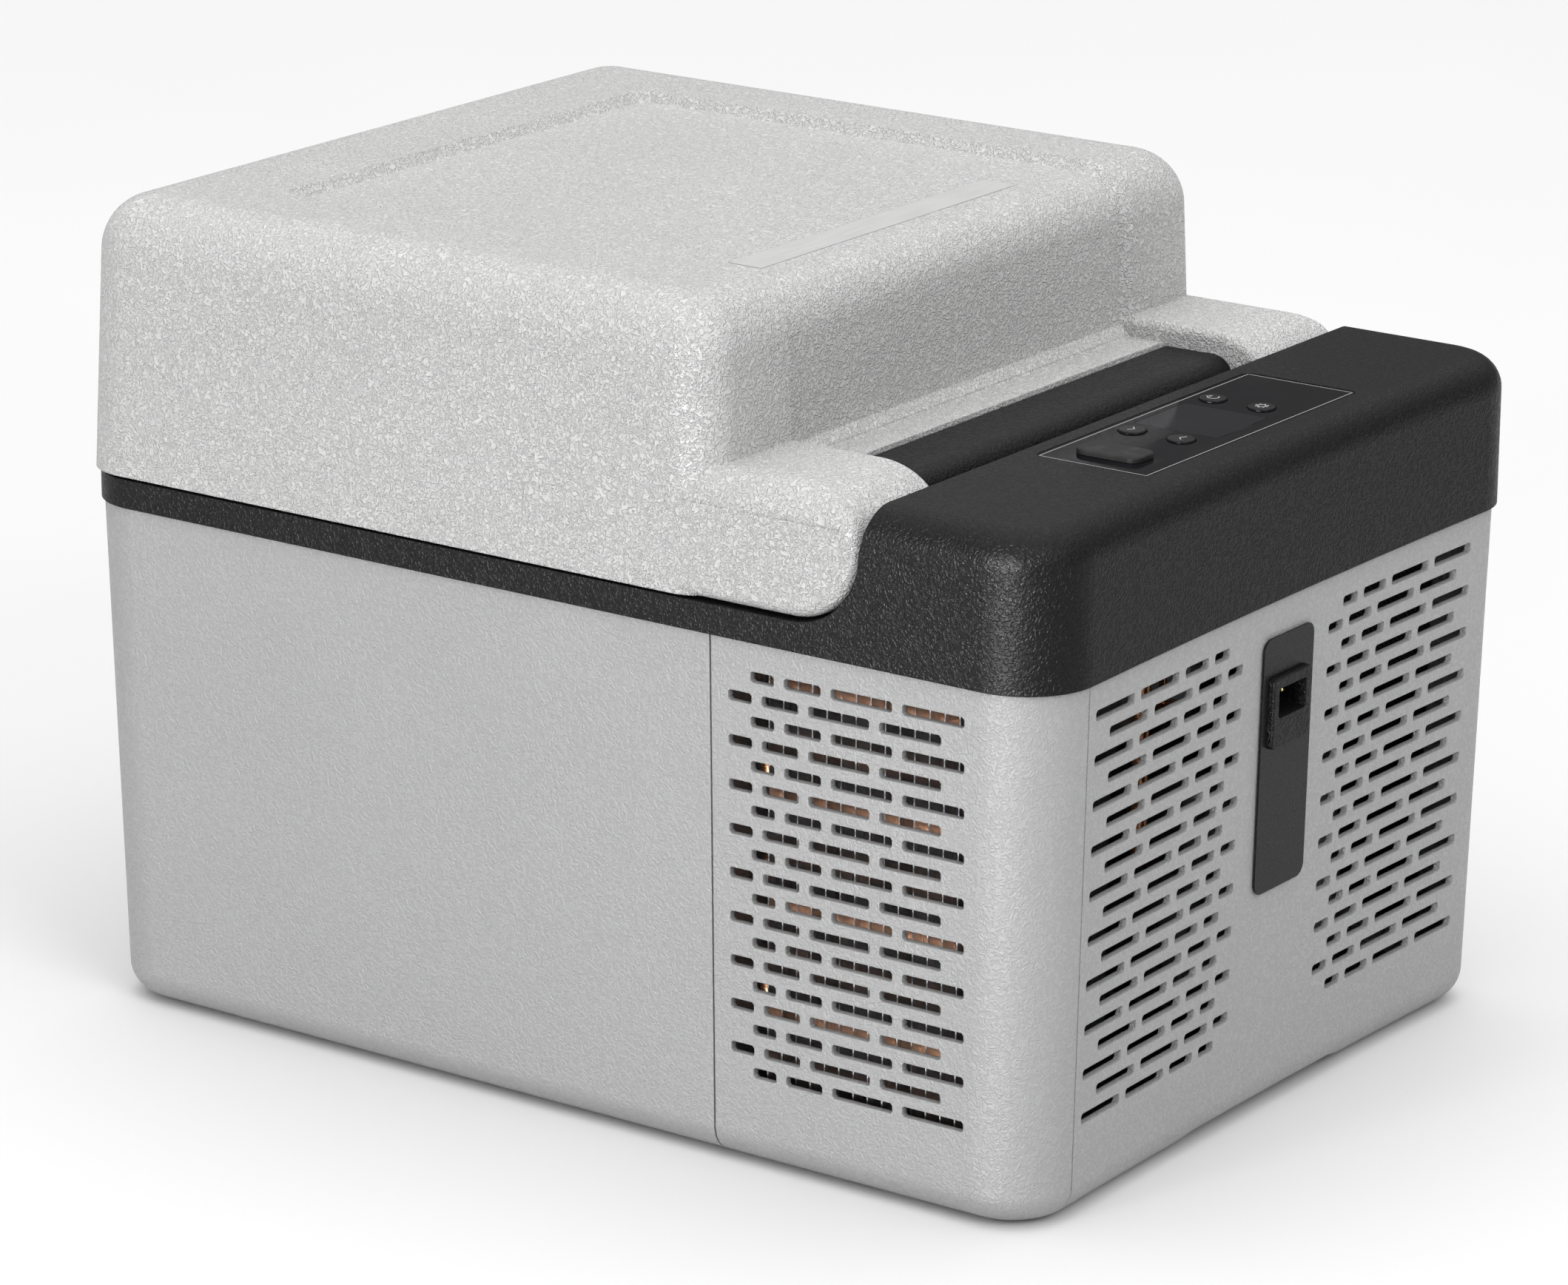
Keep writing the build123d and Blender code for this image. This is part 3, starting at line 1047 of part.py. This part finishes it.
os.makedirs("parts", exist_ok=True)
for name, make in PARTS.items():
    solid = make()
    export_step(solid, f"parts/{name}.step")
    print(name, round(solid.volume / 1000, 1), "cm3")
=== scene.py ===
"""Compressor cooler fridge: materials, marks, floor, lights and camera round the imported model."""
import bmesh
import bpy
import json
from math import cos, pi, radians, sin
from mathutils import Matrix, Vector


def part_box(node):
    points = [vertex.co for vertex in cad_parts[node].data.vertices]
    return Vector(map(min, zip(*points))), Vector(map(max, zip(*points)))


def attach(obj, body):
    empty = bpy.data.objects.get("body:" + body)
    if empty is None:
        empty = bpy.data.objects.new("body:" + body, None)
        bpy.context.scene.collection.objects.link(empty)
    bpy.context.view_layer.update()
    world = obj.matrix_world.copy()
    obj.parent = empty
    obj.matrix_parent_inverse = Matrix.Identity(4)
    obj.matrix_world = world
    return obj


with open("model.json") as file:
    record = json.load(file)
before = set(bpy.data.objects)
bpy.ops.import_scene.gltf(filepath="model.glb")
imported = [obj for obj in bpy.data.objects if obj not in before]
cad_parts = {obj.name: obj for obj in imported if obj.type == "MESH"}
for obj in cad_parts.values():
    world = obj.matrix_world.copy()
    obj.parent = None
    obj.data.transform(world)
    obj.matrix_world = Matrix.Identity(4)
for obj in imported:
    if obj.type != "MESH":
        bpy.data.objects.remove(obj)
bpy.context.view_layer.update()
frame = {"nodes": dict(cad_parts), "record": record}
NODES = frame["nodes"]
MM = 0.001

# ---- camera and light ---------------------------------------------------------------------------
CAMERA_PLACE = Vector((1.2912, -1.8289, 0.8249))
CAMERA_AZIMUTH = radians(35.37)
CAMERA_ELEVATION = radians(17.09)
CAMERA_ROLL = radians(0.31)
SENSOR_WIDTH = 36.0
LENS = 146.3
HORIZON_LIGHT = 0.03
OVERHEAD_LIGHT = 2.95

# ---- colours, linear ----------------------------------------------------------------------------
LID_GREY = (0.485, 0.485, 0.482)
BODY_GREY = (0.305, 0.306, 0.307)
FRAME_BLACK = (0.0060, 0.0060, 0.0064)
LINER_GREY = (0.62, 0.63, 0.64)
MARK_GREY = (0.30, 0.30, 0.30)

# ---- added pieces, metres -----------------------------------------------------------------------
TRAY_Z = 0.3016
PLATE_CORNERS = ((0.031, -0.088), (0.045, -0.088), (0.045, 0.071), (0.031, 0.071))
# SCREEN_X, SCREEN_LOW and SCREEN_HIGH place the dark sheet of painted shade behind the far vents.
SCREEN_X = (0.0800, 0.1780)
SCREEN_LOW = (0.1505, 0.0220)
SCREEN_HIGH = (0.1536, 0.1860)


# ---- material helpers ---------------------------------------------------------------------------
class Maker:
    """Builds one node material: a Principled shader and the textures that feed it."""

    def __init__(self, name, roughness=0.5, metallic=0.0, specular=0.5, coat=0.0, ior=1.5):
        self.material = bpy.data.materials.new(name)
        self.material.use_nodes = True
        self.tree = self.material.node_tree
        self.shader = self.tree.nodes["Principled BSDF"]
        self.shader.inputs["Roughness"].default_value = roughness
        self.shader.inputs["Metallic"].default_value = metallic
        self.shader.inputs["Specular IOR Level"].default_value = specular
        self.shader.inputs["Coat Weight"].default_value = coat
        self.shader.inputs["IOR"].default_value = ior
        self.place = self.node("ShaderNodeTexCoord").outputs["Object"]
        self.normal = None

    def node(self, kind, **settings):
        made = self.tree.nodes.new(kind)
        for key, value in settings.items():
            setattr(made, key, value)
        return made

    def link(self, source, target):
        self.tree.links.new(source, target)

    def stretched(self, scale):
        """Object coordinates multiplied by a scale per axis."""
        mapping = self.node("ShaderNodeMapping")
        mapping.inputs["Scale"].default_value = scale
        self.link(self.place, mapping.inputs["Vector"])
        return mapping.outputs["Vector"]

    def noise(self, size, detail=2.0, roughness=0.5, place=None, distortion=0.0):
        """Noise whose blotches are about size metres across."""
        made = self.node("ShaderNodeTexNoise")
        made.inputs["Scale"].default_value = 1 / size
        made.inputs["Detail"].default_value = detail
        made.inputs["Roughness"].default_value = roughness
        made.inputs["Distortion"].default_value = distortion
        self.link(place or self.place, made.inputs["Vector"])
        return made.outputs["Fac"]

    def ranged(self, source, low, high, to_low=0.0, to_high=1.0):
        made = self.node("ShaderNodeMapRange", interpolation_type="SMOOTHSTEP")
        self.link(source, made.inputs["Value"])
        for key, value in (("From Min", low), ("From Max", high), ("To Min", to_low), ("To Max", to_high)):
            made.inputs[key].default_value = value
        return made.outputs["Result"]

    def mixed(self, factor, first, second):
        """A colour between two colours."""
        made = self.node("ShaderNodeMix", data_type="RGBA")
        self.link(factor, made.inputs["Factor"])
        for key, value in (("A", first), ("B", second)):
            socket = [s for s in made.inputs if s.name == key and s.type == "RGBA"][0]
            if isinstance(value, tuple):
                socket.default_value = (*value, 1)
            else:
                self.link(value, socket)
        return [s for s in made.outputs if s.type == "RGBA"][0]

    def pebbles(self, size, seam=0.12):
        """Leather grain: short winding crests about size metres wide with soft valleys between them."""
        crests = self.noise(size, detail=1.5, roughness=0.35, distortion=1.2)
        return self.ranged(crests, 0.5 - seam, 0.5 + seam)

    def bump(self, height, distance, strength=1.0):
        """Adds a bump of a real height in metres on top of those already there."""
        made = self.node("ShaderNodeBump")
        made.inputs["Distance"].default_value = distance
        made.inputs["Strength"].default_value = strength
        self.link(height, made.inputs["Height"])
        if self.normal:
            self.link(self.normal, made.inputs["Normal"])
        self.normal = made.outputs["Normal"]

    def soft_edges(self, radius):
        """Rounds sharp edges in the shading, as a mould does."""
        made = self.node("ShaderNodeBevel", samples=6)
        made.inputs["Radius"].default_value = radius
        self.normal = made.outputs["Normal"]

    def done(self, colour=None, roughness=None):
        if isinstance(colour, tuple):
            self.shader.inputs["Base Color"].default_value = (*colour, 1)
        elif colour:
            self.link(colour, self.shader.inputs["Base Color"])
        if roughness:
            self.link(roughness, self.shader.inputs["Roughness"])
        if self.normal:
            self.link(self.normal, self.shader.inputs["Normal"])
        return self.material


def shade(colour, factor):
    return tuple(channel * factor for channel in colour)


# ---- materials ----------------------------------------------------------------------------------
def grained_plastic(name, colour, cell, depth, roughness, edge=0.0006, mottle=0.015, valley_shade=0.9, specular=0.4,
                    ior=1.5):
    """Moulded plastic with leather grain: valleys darkened with painted shade, crests a little glossier."""
    maker = Maker(name, specular=specular, ior=ior)
    maker.soft_edges(edge)
    grain = maker.pebbles(cell)
    fine = maker.noise(cell * 0.4, detail=2.0)
    broad = maker.noise(0.06, detail=3.0)
    tone = maker.mixed(maker.ranged(broad, 0.3, 0.7), shade(colour, 1 - mottle), shade(colour, 1 + mottle))
    # The grain valleys get a darker colour: painted shade in the hollows of the grain, on top of the random
    # mottle.
    dark = maker.mixed(maker.ranged(broad, 0.3, 0.7), shade(colour, valley_shade - mottle), shade(colour, valley_shade))
    tone = maker.mixed(grain, dark, tone)
    maker.bump(grain, depth)
    maker.bump(fine, depth * 0.3)
    rough = maker.ranged(grain, 0.0, 1.0, roughness + 0.1, roughness)
    return maker.done(tone, rough)


def glossy_panel():
    """Clear-coated black plate with faint wipe marks and dust."""
    maker = Maker("panel_gloss", ior=1.13)
    maker.soft_edges(0.0003)
    wipe = maker.noise(0.012, detail=5.0, place=maker.stretched((1, 0.35, 1)))
    rough = maker.ranged(wipe, 0.45, 0.75, 0.05, 0.16)
    tone = maker.mixed(maker.ranged(wipe, 0.5, 0.8), (0.004, 0.004, 0.005), (0.008, 0.008, 0.009))
    maker.bump(maker.noise(0.03, detail=1.0), 0.00004)
    return maker.done(tone, rough)


def dark_lens():
    """Dark display lens, a touch smoother and bluer than the panel."""
    maker = Maker("display_lens", ior=1.17)
    tone = maker.mixed(maker.noise(0.02), (0.004, 0.004, 0.006), (0.009, 0.009, 0.012))
    return maker.done(tone, maker.ranged(maker.noise(0.01, detail=4), 0.3, 0.8, 0.04, 0.1))


def key_plastic():
    """Satin keys."""
    maker = Maker("key_plastic", ior=1.2)
    fine = maker.noise(0.0006, detail=2)
    maker.soft_edges(0.0002)
    maker.bump(fine, 0.00002)
    tone = maker.mixed(maker.noise(0.006), (0.006, 0.006, 0.007), (0.012, 0.012, 0.013))
    return maker.done(tone, maker.ranged(fine, 0.2, 0.8, 0.2, 0.32))


def soft_rubber():
    """Matte rubber with a dusty bloom."""
    maker = Maker("rubber", ior=1.25)
    maker.soft_edges(0.0003)
    dust = maker.noise(0.008, detail=6)
    maker.bump(maker.noise(0.0005, detail=3), 0.00005)
    tone = maker.mixed(maker.ranged(dust, 0.4, 0.75), (0.014, 0.014, 0.014), (0.035, 0.034, 0.033))
    return maker.done(tone, maker.ranged(dust, 0.3, 0.7, 0.55, 0.75))


def brushed_metal(name, colour, roughness, along, scratch=0.25):
    """Metal with fine drawn lines along one axis and patches of tarnish."""
    maker = Maker(name, metallic=1.0)
    lines = maker.noise(0.0004, detail=3, place=maker.stretched(along))
    stain = maker.noise(0.015, detail=4)
    tone = maker.mixed(maker.ranged(stain, 0.35, 0.75), colour, shade(colour, 0.72))
    maker.bump(lines, 0.00003, scratch)
    return maker.done(tone, maker.ranged(lines, 0.2, 0.8, roughness - 0.08, roughness + 0.12))


def painted_steel():
    """Black enamel with slight orange peel."""
    maker = Maker("painted_steel", coat=0.2)
    maker.bump(maker.noise(0.002, detail=2), 0.00006)
    tone = maker.mixed(maker.noise(0.02, detail=4), (0.012, 0.012, 0.012), (0.026, 0.026, 0.026))
    return maker.done(tone, maker.ranged(maker.noise(0.004), 0.3, 0.7, 0.25, 0.42))


def foam():
    """Cut polyurethane foam with open cells."""
    maker = Maker("foam", roughness=0.9, specular=0.2)
    cells = maker.pebbles(0.0012, 0.3)
    maker.bump(cells, 0.0004)
    # The cell hollows take the darker colour: painted shade in the pores.
    return maker.done(maker.mixed(cells, (0.55, 0.44, 0.22), (0.80, 0.72, 0.48)))


def circuit_board():
    """Green board with darker tracks."""
    maker = Maker("circuit_board", coat=0.3)
    tracks = maker.node("ShaderNodeTexBrick")
    maker.link(maker.stretched((220, 220, 220)), tracks.inputs["Vector"])
    tone = maker.mixed(tracks.outputs["Fac"], (0.012, 0.075, 0.03), (0.03, 0.14, 0.055))
    maker.bump(tracks.outputs["Fac"], 0.00005)
    return maker.done(tone, maker.ranged(maker.noise(0.003), 0.3, 0.7, 0.3, 0.5))


def printed_mark():
    """Pad-printed ink, slightly broken up."""
    maker = Maker("printed_mark", specular=0.3)
    speck = maker.noise(0.0003, detail=3)
    tone = maker.mixed(maker.ranged(speck, 0.3, 0.6), shade(MARK_GREY, 0.75), MARK_GREY)
    return maker.done(tone, maker.ranged(speck, 0.2, 0.8, 0.45, 0.6))


def wire_cover():
    """Smooth insulation."""
    maker = Maker("wire_cover")
    tone = maker.mixed(maker.noise(0.01), (0.02, 0.02, 0.02), (0.04, 0.038, 0.036))
    return maker.done(tone, maker.ranged(maker.noise(0.004), 0.3, 0.7, 0.35, 0.5))


def all_materials():
    return {
        # The valley factors below set how much painted shade darkens each plastic's grain valleys.
        "lid_plastic": grained_plastic("lid_plastic", LID_GREY, 0.0014, 0.00050, 0.5, edge=0.0009,
                                       valley_shade=0.88),
        "body_plastic": grained_plastic("body_plastic", BODY_GREY, 0.0015, 0.00012, 0.5, valley_shade=0.93),
        "black_plastic": grained_plastic("black_plastic", FRAME_BLACK, 0.0015, 0.00016, 0.36, valley_shade=0.8,
                                         specular=0.6, ior=1.2),
        "liner_plastic": grained_plastic("liner_plastic", LINER_GREY, 0.0016, 0.00003, 0.35, valley_shade=0.97),
        "label_plastic": grained_plastic("label_plastic", (0.007, 0.007, 0.0075), 0.0006, 0.00002, 0.24,
                                         edge=0.0002, ior=1.25),
        "panel_plastic": glossy_panel(),
        "display_lens": dark_lens(),
        "button_plastic": key_plastic(),
        "rubber": soft_rubber(),
        "foam": foam(),
        "steel": brushed_metal("steel", (0.55, 0.55, 0.56), 0.3, (1, 0.02, 1)),
        "plated_steel": brushed_metal("plated_steel", (0.66, 0.66, 0.68), 0.18, (0.05, 1, 1)),
        "painted_steel": painted_steel(),
        "aluminium": brushed_metal("aluminium", (0.70, 0.71, 0.73), 0.32, (1, 1, 0.03)),
        "copper": brushed_metal("copper", (0.72, 0.36, 0.20), 0.25, (0.05, 1, 1)),
        "brass": brushed_metal("brass", (0.78, 0.57, 0.25), 0.2, (1, 0.05, 1)),
        "circuit_board": circuit_board(),
        "wire": wire_cover(),
    }


def dress(materials):
    """Gives every carried-over node the material of its slot."""
    for entry in frame["record"]["subparts"]:
        node = NODES[entry["node"]]
        node.data.materials.clear()
        node.data.materials.append(materials[entry["material_slot"]])


# ---- printed marks ------------------------------------------------------------------------------
def flat_piece(name, outlines, z, thickness, body, material):
    """Thin raised shapes on a level surface, from closed outlines in metres."""
    mesh = bpy.data.meshes.new(name)
    shape = bmesh.new()
    for outline in outlines:
        low = [shape.verts.new((x, y, z)) for x, y in outline]
        face = shape.faces.new(low)
        made = bmesh.ops.extrude_face_region(shape, geom=[face])
        moved = [v for v in made["geom"] if isinstance(v, bmesh.types.BMVert)]
        bmesh.ops.translate(shape, vec=(0, 0, thickness), verts=moved)
    bmesh.ops.recalc_face_normals(shape, faces=shape.faces)
    shape.to_mesh(mesh)
    shape.free()
    mesh.materials.append(material)
    piece = bpy.data.objects.new(name, mesh)
    bpy.context.scene.collection.objects.link(piece)
    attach(piece, body)
    return piece


def ring_part(x, y, radius, width, start, end, steps=28):
    """Outline of an arc band between two angles, in degrees."""
    angles = [radians(start + (end - start) * k / steps) for k in range(steps + 1)]
    outer = [(x + radius * cos(a), y + radius * sin(a)) for a in angles]
    inner = [(x + (radius - width) * cos(a), y + (radius - width) * sin(a)) for a in reversed(angles)]
    return outer + inner


def bar(x, y, length, width, angle):
    """Outline of a straight bar centred on a point."""
    turn = radians(angle)
    along = (cos(turn) * length / 2, sin(turn) * length / 2)
    aside = (-sin(turn) * width / 2, cos(turn) * width / 2)
    return [(x + a * along[0] + b * aside[0], y + a * along[1] + b * aside[1])
            for a, b in ((-1, -1), (1, -1), (1, 1), (-1, 1))]


def key_middle(node):
    """Middle of a key seen from above, and the height of its top."""
    low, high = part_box(node)
    return (low.x + high.x) / 2, (low.y + high.y) / 2, high.z


def key_marks(material):
    """Generic symbols on the keys: power, settings, up and down."""
    lift, thick = -0.02 * MM, 0.05 * MM
    x, y, z = key_middle("button_power")
    power = [ring_part(x, y, 2.3 * MM, 0.5 * MM, 125, 415), bar(x - 1.9 * MM, y, 2.2 * MM, 0.5 * MM, 0)]
    flat_piece("mark_power", power, z + lift, thick, "power_key", material)
    x, y, z = key_middle("button_settings")
    teeth = [bar(x + 2.1 * MM * cos(k * pi / 4), y + 2.1 * MM * sin(k * pi / 4), 0.9 * MM, 0.7 * MM, 45 * k)
             for k in range(8)]
    halves = [ring_part(x, y, 1.8 * MM, 0.6 * MM, 0, 180), ring_part(x, y, 1.8 * MM, 0.6 * MM, 180, 360)]
    flat_piece("mark_settings", teeth + halves, z + lift, thick, "settings_key", material)
    arrows = (("mark_up", "button_up", "up_key", 1), ("mark_down", "button_down", "down_key", -1))
    for name, node, body, way in arrows:
        x, y, z = key_middle(node)
        strokes = [bar(x, y + side * 0.95 * MM, 2.9 * MM, 0.5 * MM, side * way * 50) for side in (-1, 1)]
        flat_piece(name, strokes, z + lift, thick, body, material)


def panel_border(material):
    """A thin pale line just inside the edge of the control panel."""
    low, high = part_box("control_panel")
    inset, width = 1.6 * MM, 0.35 * MM
    x, y = (low.x + high.x) / 2, (low.y + high.y) / 2
    half_x, half_y = (high.x - low.x) / 2 - inset, (high.y - low.y) / 2 - inset
    lines = [bar(x, y + side * half_y, 2 * half_x - 2 * width, width, 0) for side in (-1, 1)]
    lines += [bar(x + side * half_x, y, 2 * half_y + width, width, 90) for side in (-1, 1)]
    flat_piece("panel_border", lines, high.z - 0.02 * MM, 0.05 * MM, "body", material)


def blank_plate():
    """A smooth plain plate laid in the lid's tray, near the hinge."""
    maker = Maker("plate_satin", specular=0.4)
    maker.soft_edges(0.0003)
    brushed = maker.noise(0.002, detail=3, place=maker.stretched((1, 0.1, 1)))
    maker.bump(brushed, 0.00002)
    tone = maker.mixed(brushed, shade(LID_GREY, 0.84), shade(LID_GREY, 0.90))
    material = maker.done(tone, maker.ranged(brushed, 0.3, 0.7, 0.32, 0.42))
    flat_piece("blank_plate", [list(PLATE_CORNERS)], TRAY_Z - 0.02 * MM, 0.3 * MM, "lid", material)


def vent_shade_sheet():
    """Dark woven sheet behind the vents on the far side, leaning with the wall: painted shade that hides the
    view through the vents into the body.
    """
    maker = Maker("vent_shade_material", specular=0.2)
    threads = maker.node("ShaderNodeTexWave", wave_type="BANDS", bands_direction="DIAGONAL")
    threads.inputs["Scale"].default_value = 220.0
    maker.link(maker.place, threads.inputs["Vector"])
    maker.bump(threads.outputs["Fac"], 0.0003)
    # Near-black colour: painted shade standing in for the dark inside of the body behind the vents.
    tone = maker.mixed(threads.outputs["Fac"], (0.003, 0.003, 0.003), (0.010, 0.010, 0.010))
    material = maker.done(tone, maker.ranged(threads.outputs["Fac"], 0.0, 1.0, 0.8, 0.6))
    mesh = bpy.data.meshes.new("vent_shade_sheet")
    shape = bmesh.new()
    thick = 0.6 * MM
    rings = []
    for y_shift in (0, thick):
        rings.append([shape.verts.new((x, y - y_shift, z)) for x, y, z in (
            (SCREEN_X[0], SCREEN_LOW[0], SCREEN_LOW[1]), (SCREEN_X[1], SCREEN_LOW[0], SCREEN_LOW[1]),
            (SCREEN_X[1], SCREEN_HIGH[0], SCREEN_HIGH[1]), (SCREEN_X[0], SCREEN_HIGH[0], SCREEN_HIGH[1]))])
    shape.faces.new(rings[0])
    shape.faces.new(list(reversed(rings[1])))
    for k in range(4):
        n = (k + 1) % 4
        shape.faces.new((rings[0][k], rings[0][n], rings[1][n], rings[1][k]))
    bmesh.ops.recalc_face_normals(shape, faces=shape.faces)
    shape.to_mesh(mesh)
    shape.free()
    mesh.materials.append(material)
    screen = bpy.data.objects.new("vent_shade_sheet", mesh)
    bpy.context.scene.collection.objects.link(screen)
    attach(screen, "body")


# ---- stage --------------------------------------------------------------------------------------
def floor_material():
    """Pale studio floor, faintly uneven."""
    maker = Maker("studio_floor", roughness=0.6, specular=0.15)
    tone = maker.mixed(maker.noise(0.4, detail=2), (0.60, 0.60, 0.60), (0.63, 0.63, 0.63))
    return maker.done(tone)


def make_floor():
    mesh = bpy.data.meshes.new("studio_floor")
    shape = bmesh.new()
    half = 14.0
    corners = ((-half, -half), (half, -half), (half, half), (-half, half))
    shape.faces.new([shape.verts.new((x, y, 0)) for x, y in corners])
    shape.to_mesh(mesh)
    shape.free()
    mesh.materials.append(floor_material())
    floor = bpy.data.objects.new("studio_floor", mesh)
    bpy.context.scene.collection.objects.link(floor)


def area_light(name, place, target, size, power):
    """A soft light, size wide by high, that faces a point."""
    data = bpy.data.lights.new(name, "AREA")
    data.shape = "RECTANGLE"
    data.size, data.size_y = size
    data.energy = power
    light = bpy.data.objects.new(name, data)
    light.location = place
    light.rotation_euler = (Vector(target) - Vector(place)).to_track_quat("-Z", "Y").to_euler()
    bpy.context.scene.collection.objects.link(light)
    return light


def make_lights():
    """A surround that is bright overhead and dim at the horizon, a soft key and a weak fill."""
    world = bpy.data.worlds.new("studio")
    bpy.context.scene.world = world
    world.use_nodes = True
    tree = world.node_tree
    direction = tree.nodes.new("ShaderNodeTexCoord")
    parts = tree.nodes.new("ShaderNodeSeparateXYZ")
    level = tree.nodes.new("ShaderNodeMapRange")
    tree.links.new(direction.outputs["Generated"], parts.inputs["Vector"])
    steep = tree.nodes.new("ShaderNodeMath")
    steep.operation = "MULTIPLY"
    tree.links.new(parts.outputs["Z"], steep.inputs[0])
    tree.links.new(parts.outputs["Z"], steep.inputs[1])
    tree.links.new(steep.outputs[0], level.inputs["Value"])
    level.inputs["To Min"].default_value = HORIZON_LIGHT
    level.inputs["To Max"].default_value = OVERHEAD_LIGHT
    background = tree.nodes["Background"]
    background.inputs["Color"].default_value = (1, 1, 1, 1)
    tree.links.new(level.outputs["Result"], background.inputs["Strength"])
    middle = (0, 0, 0.15)
    area_light("key", (-0.35, -2.5, 0.75), middle, (0.4, 1.5), 18)
    area_light("fill", (2.1, -0.9, 1.5), middle, (1.2, 1.2), 26)
    gleam = area_light("gleam", (0.3, -2.2, 0.26), middle, (0.9, 0.4), 170)
    gleam.visible_diffuse = False


def make_camera():
    """The camera stands at the corner of the compressor end, a little above the lid."""
    back = Vector((sin(CAMERA_AZIMUTH) * cos(CAMERA_ELEVATION), -cos(CAMERA_AZIMUTH) * cos(CAMERA_ELEVATION),
                   sin(CAMERA_ELEVATION)))
    right = Vector((cos(CAMERA_AZIMUTH), sin(CAMERA_AZIMUTH), 0))
    up = back.cross(right)
    rolled_right = cos(CAMERA_ROLL) * right + sin(CAMERA_ROLL) * up
    rolled_up = cos(CAMERA_ROLL) * up - sin(CAMERA_ROLL) * right
    data = bpy.data.cameras.new("camera")
    data.sensor_fit = "HORIZONTAL"
    data.sensor_width = SENSOR_WIDTH
    data.lens = LENS
    camera = bpy.data.objects.new("camera", data)
    turn = Matrix((rolled_right, rolled_up, back)).transposed().to_4x4()
    camera.matrix_world = Matrix.Translation(CAMERA_PLACE) @ turn
    bpy.context.scene.collection.objects.link(camera)
    bpy.context.scene.camera = camera


make_camera()
make_floor()
make_lights()
dress(all_materials())
INK = printed_mark()
key_marks(INK)
panel_border(INK)
blank_plate()
vent_shade_sheet()
bpy.context.scene.view_settings.view_transform = "Standard"
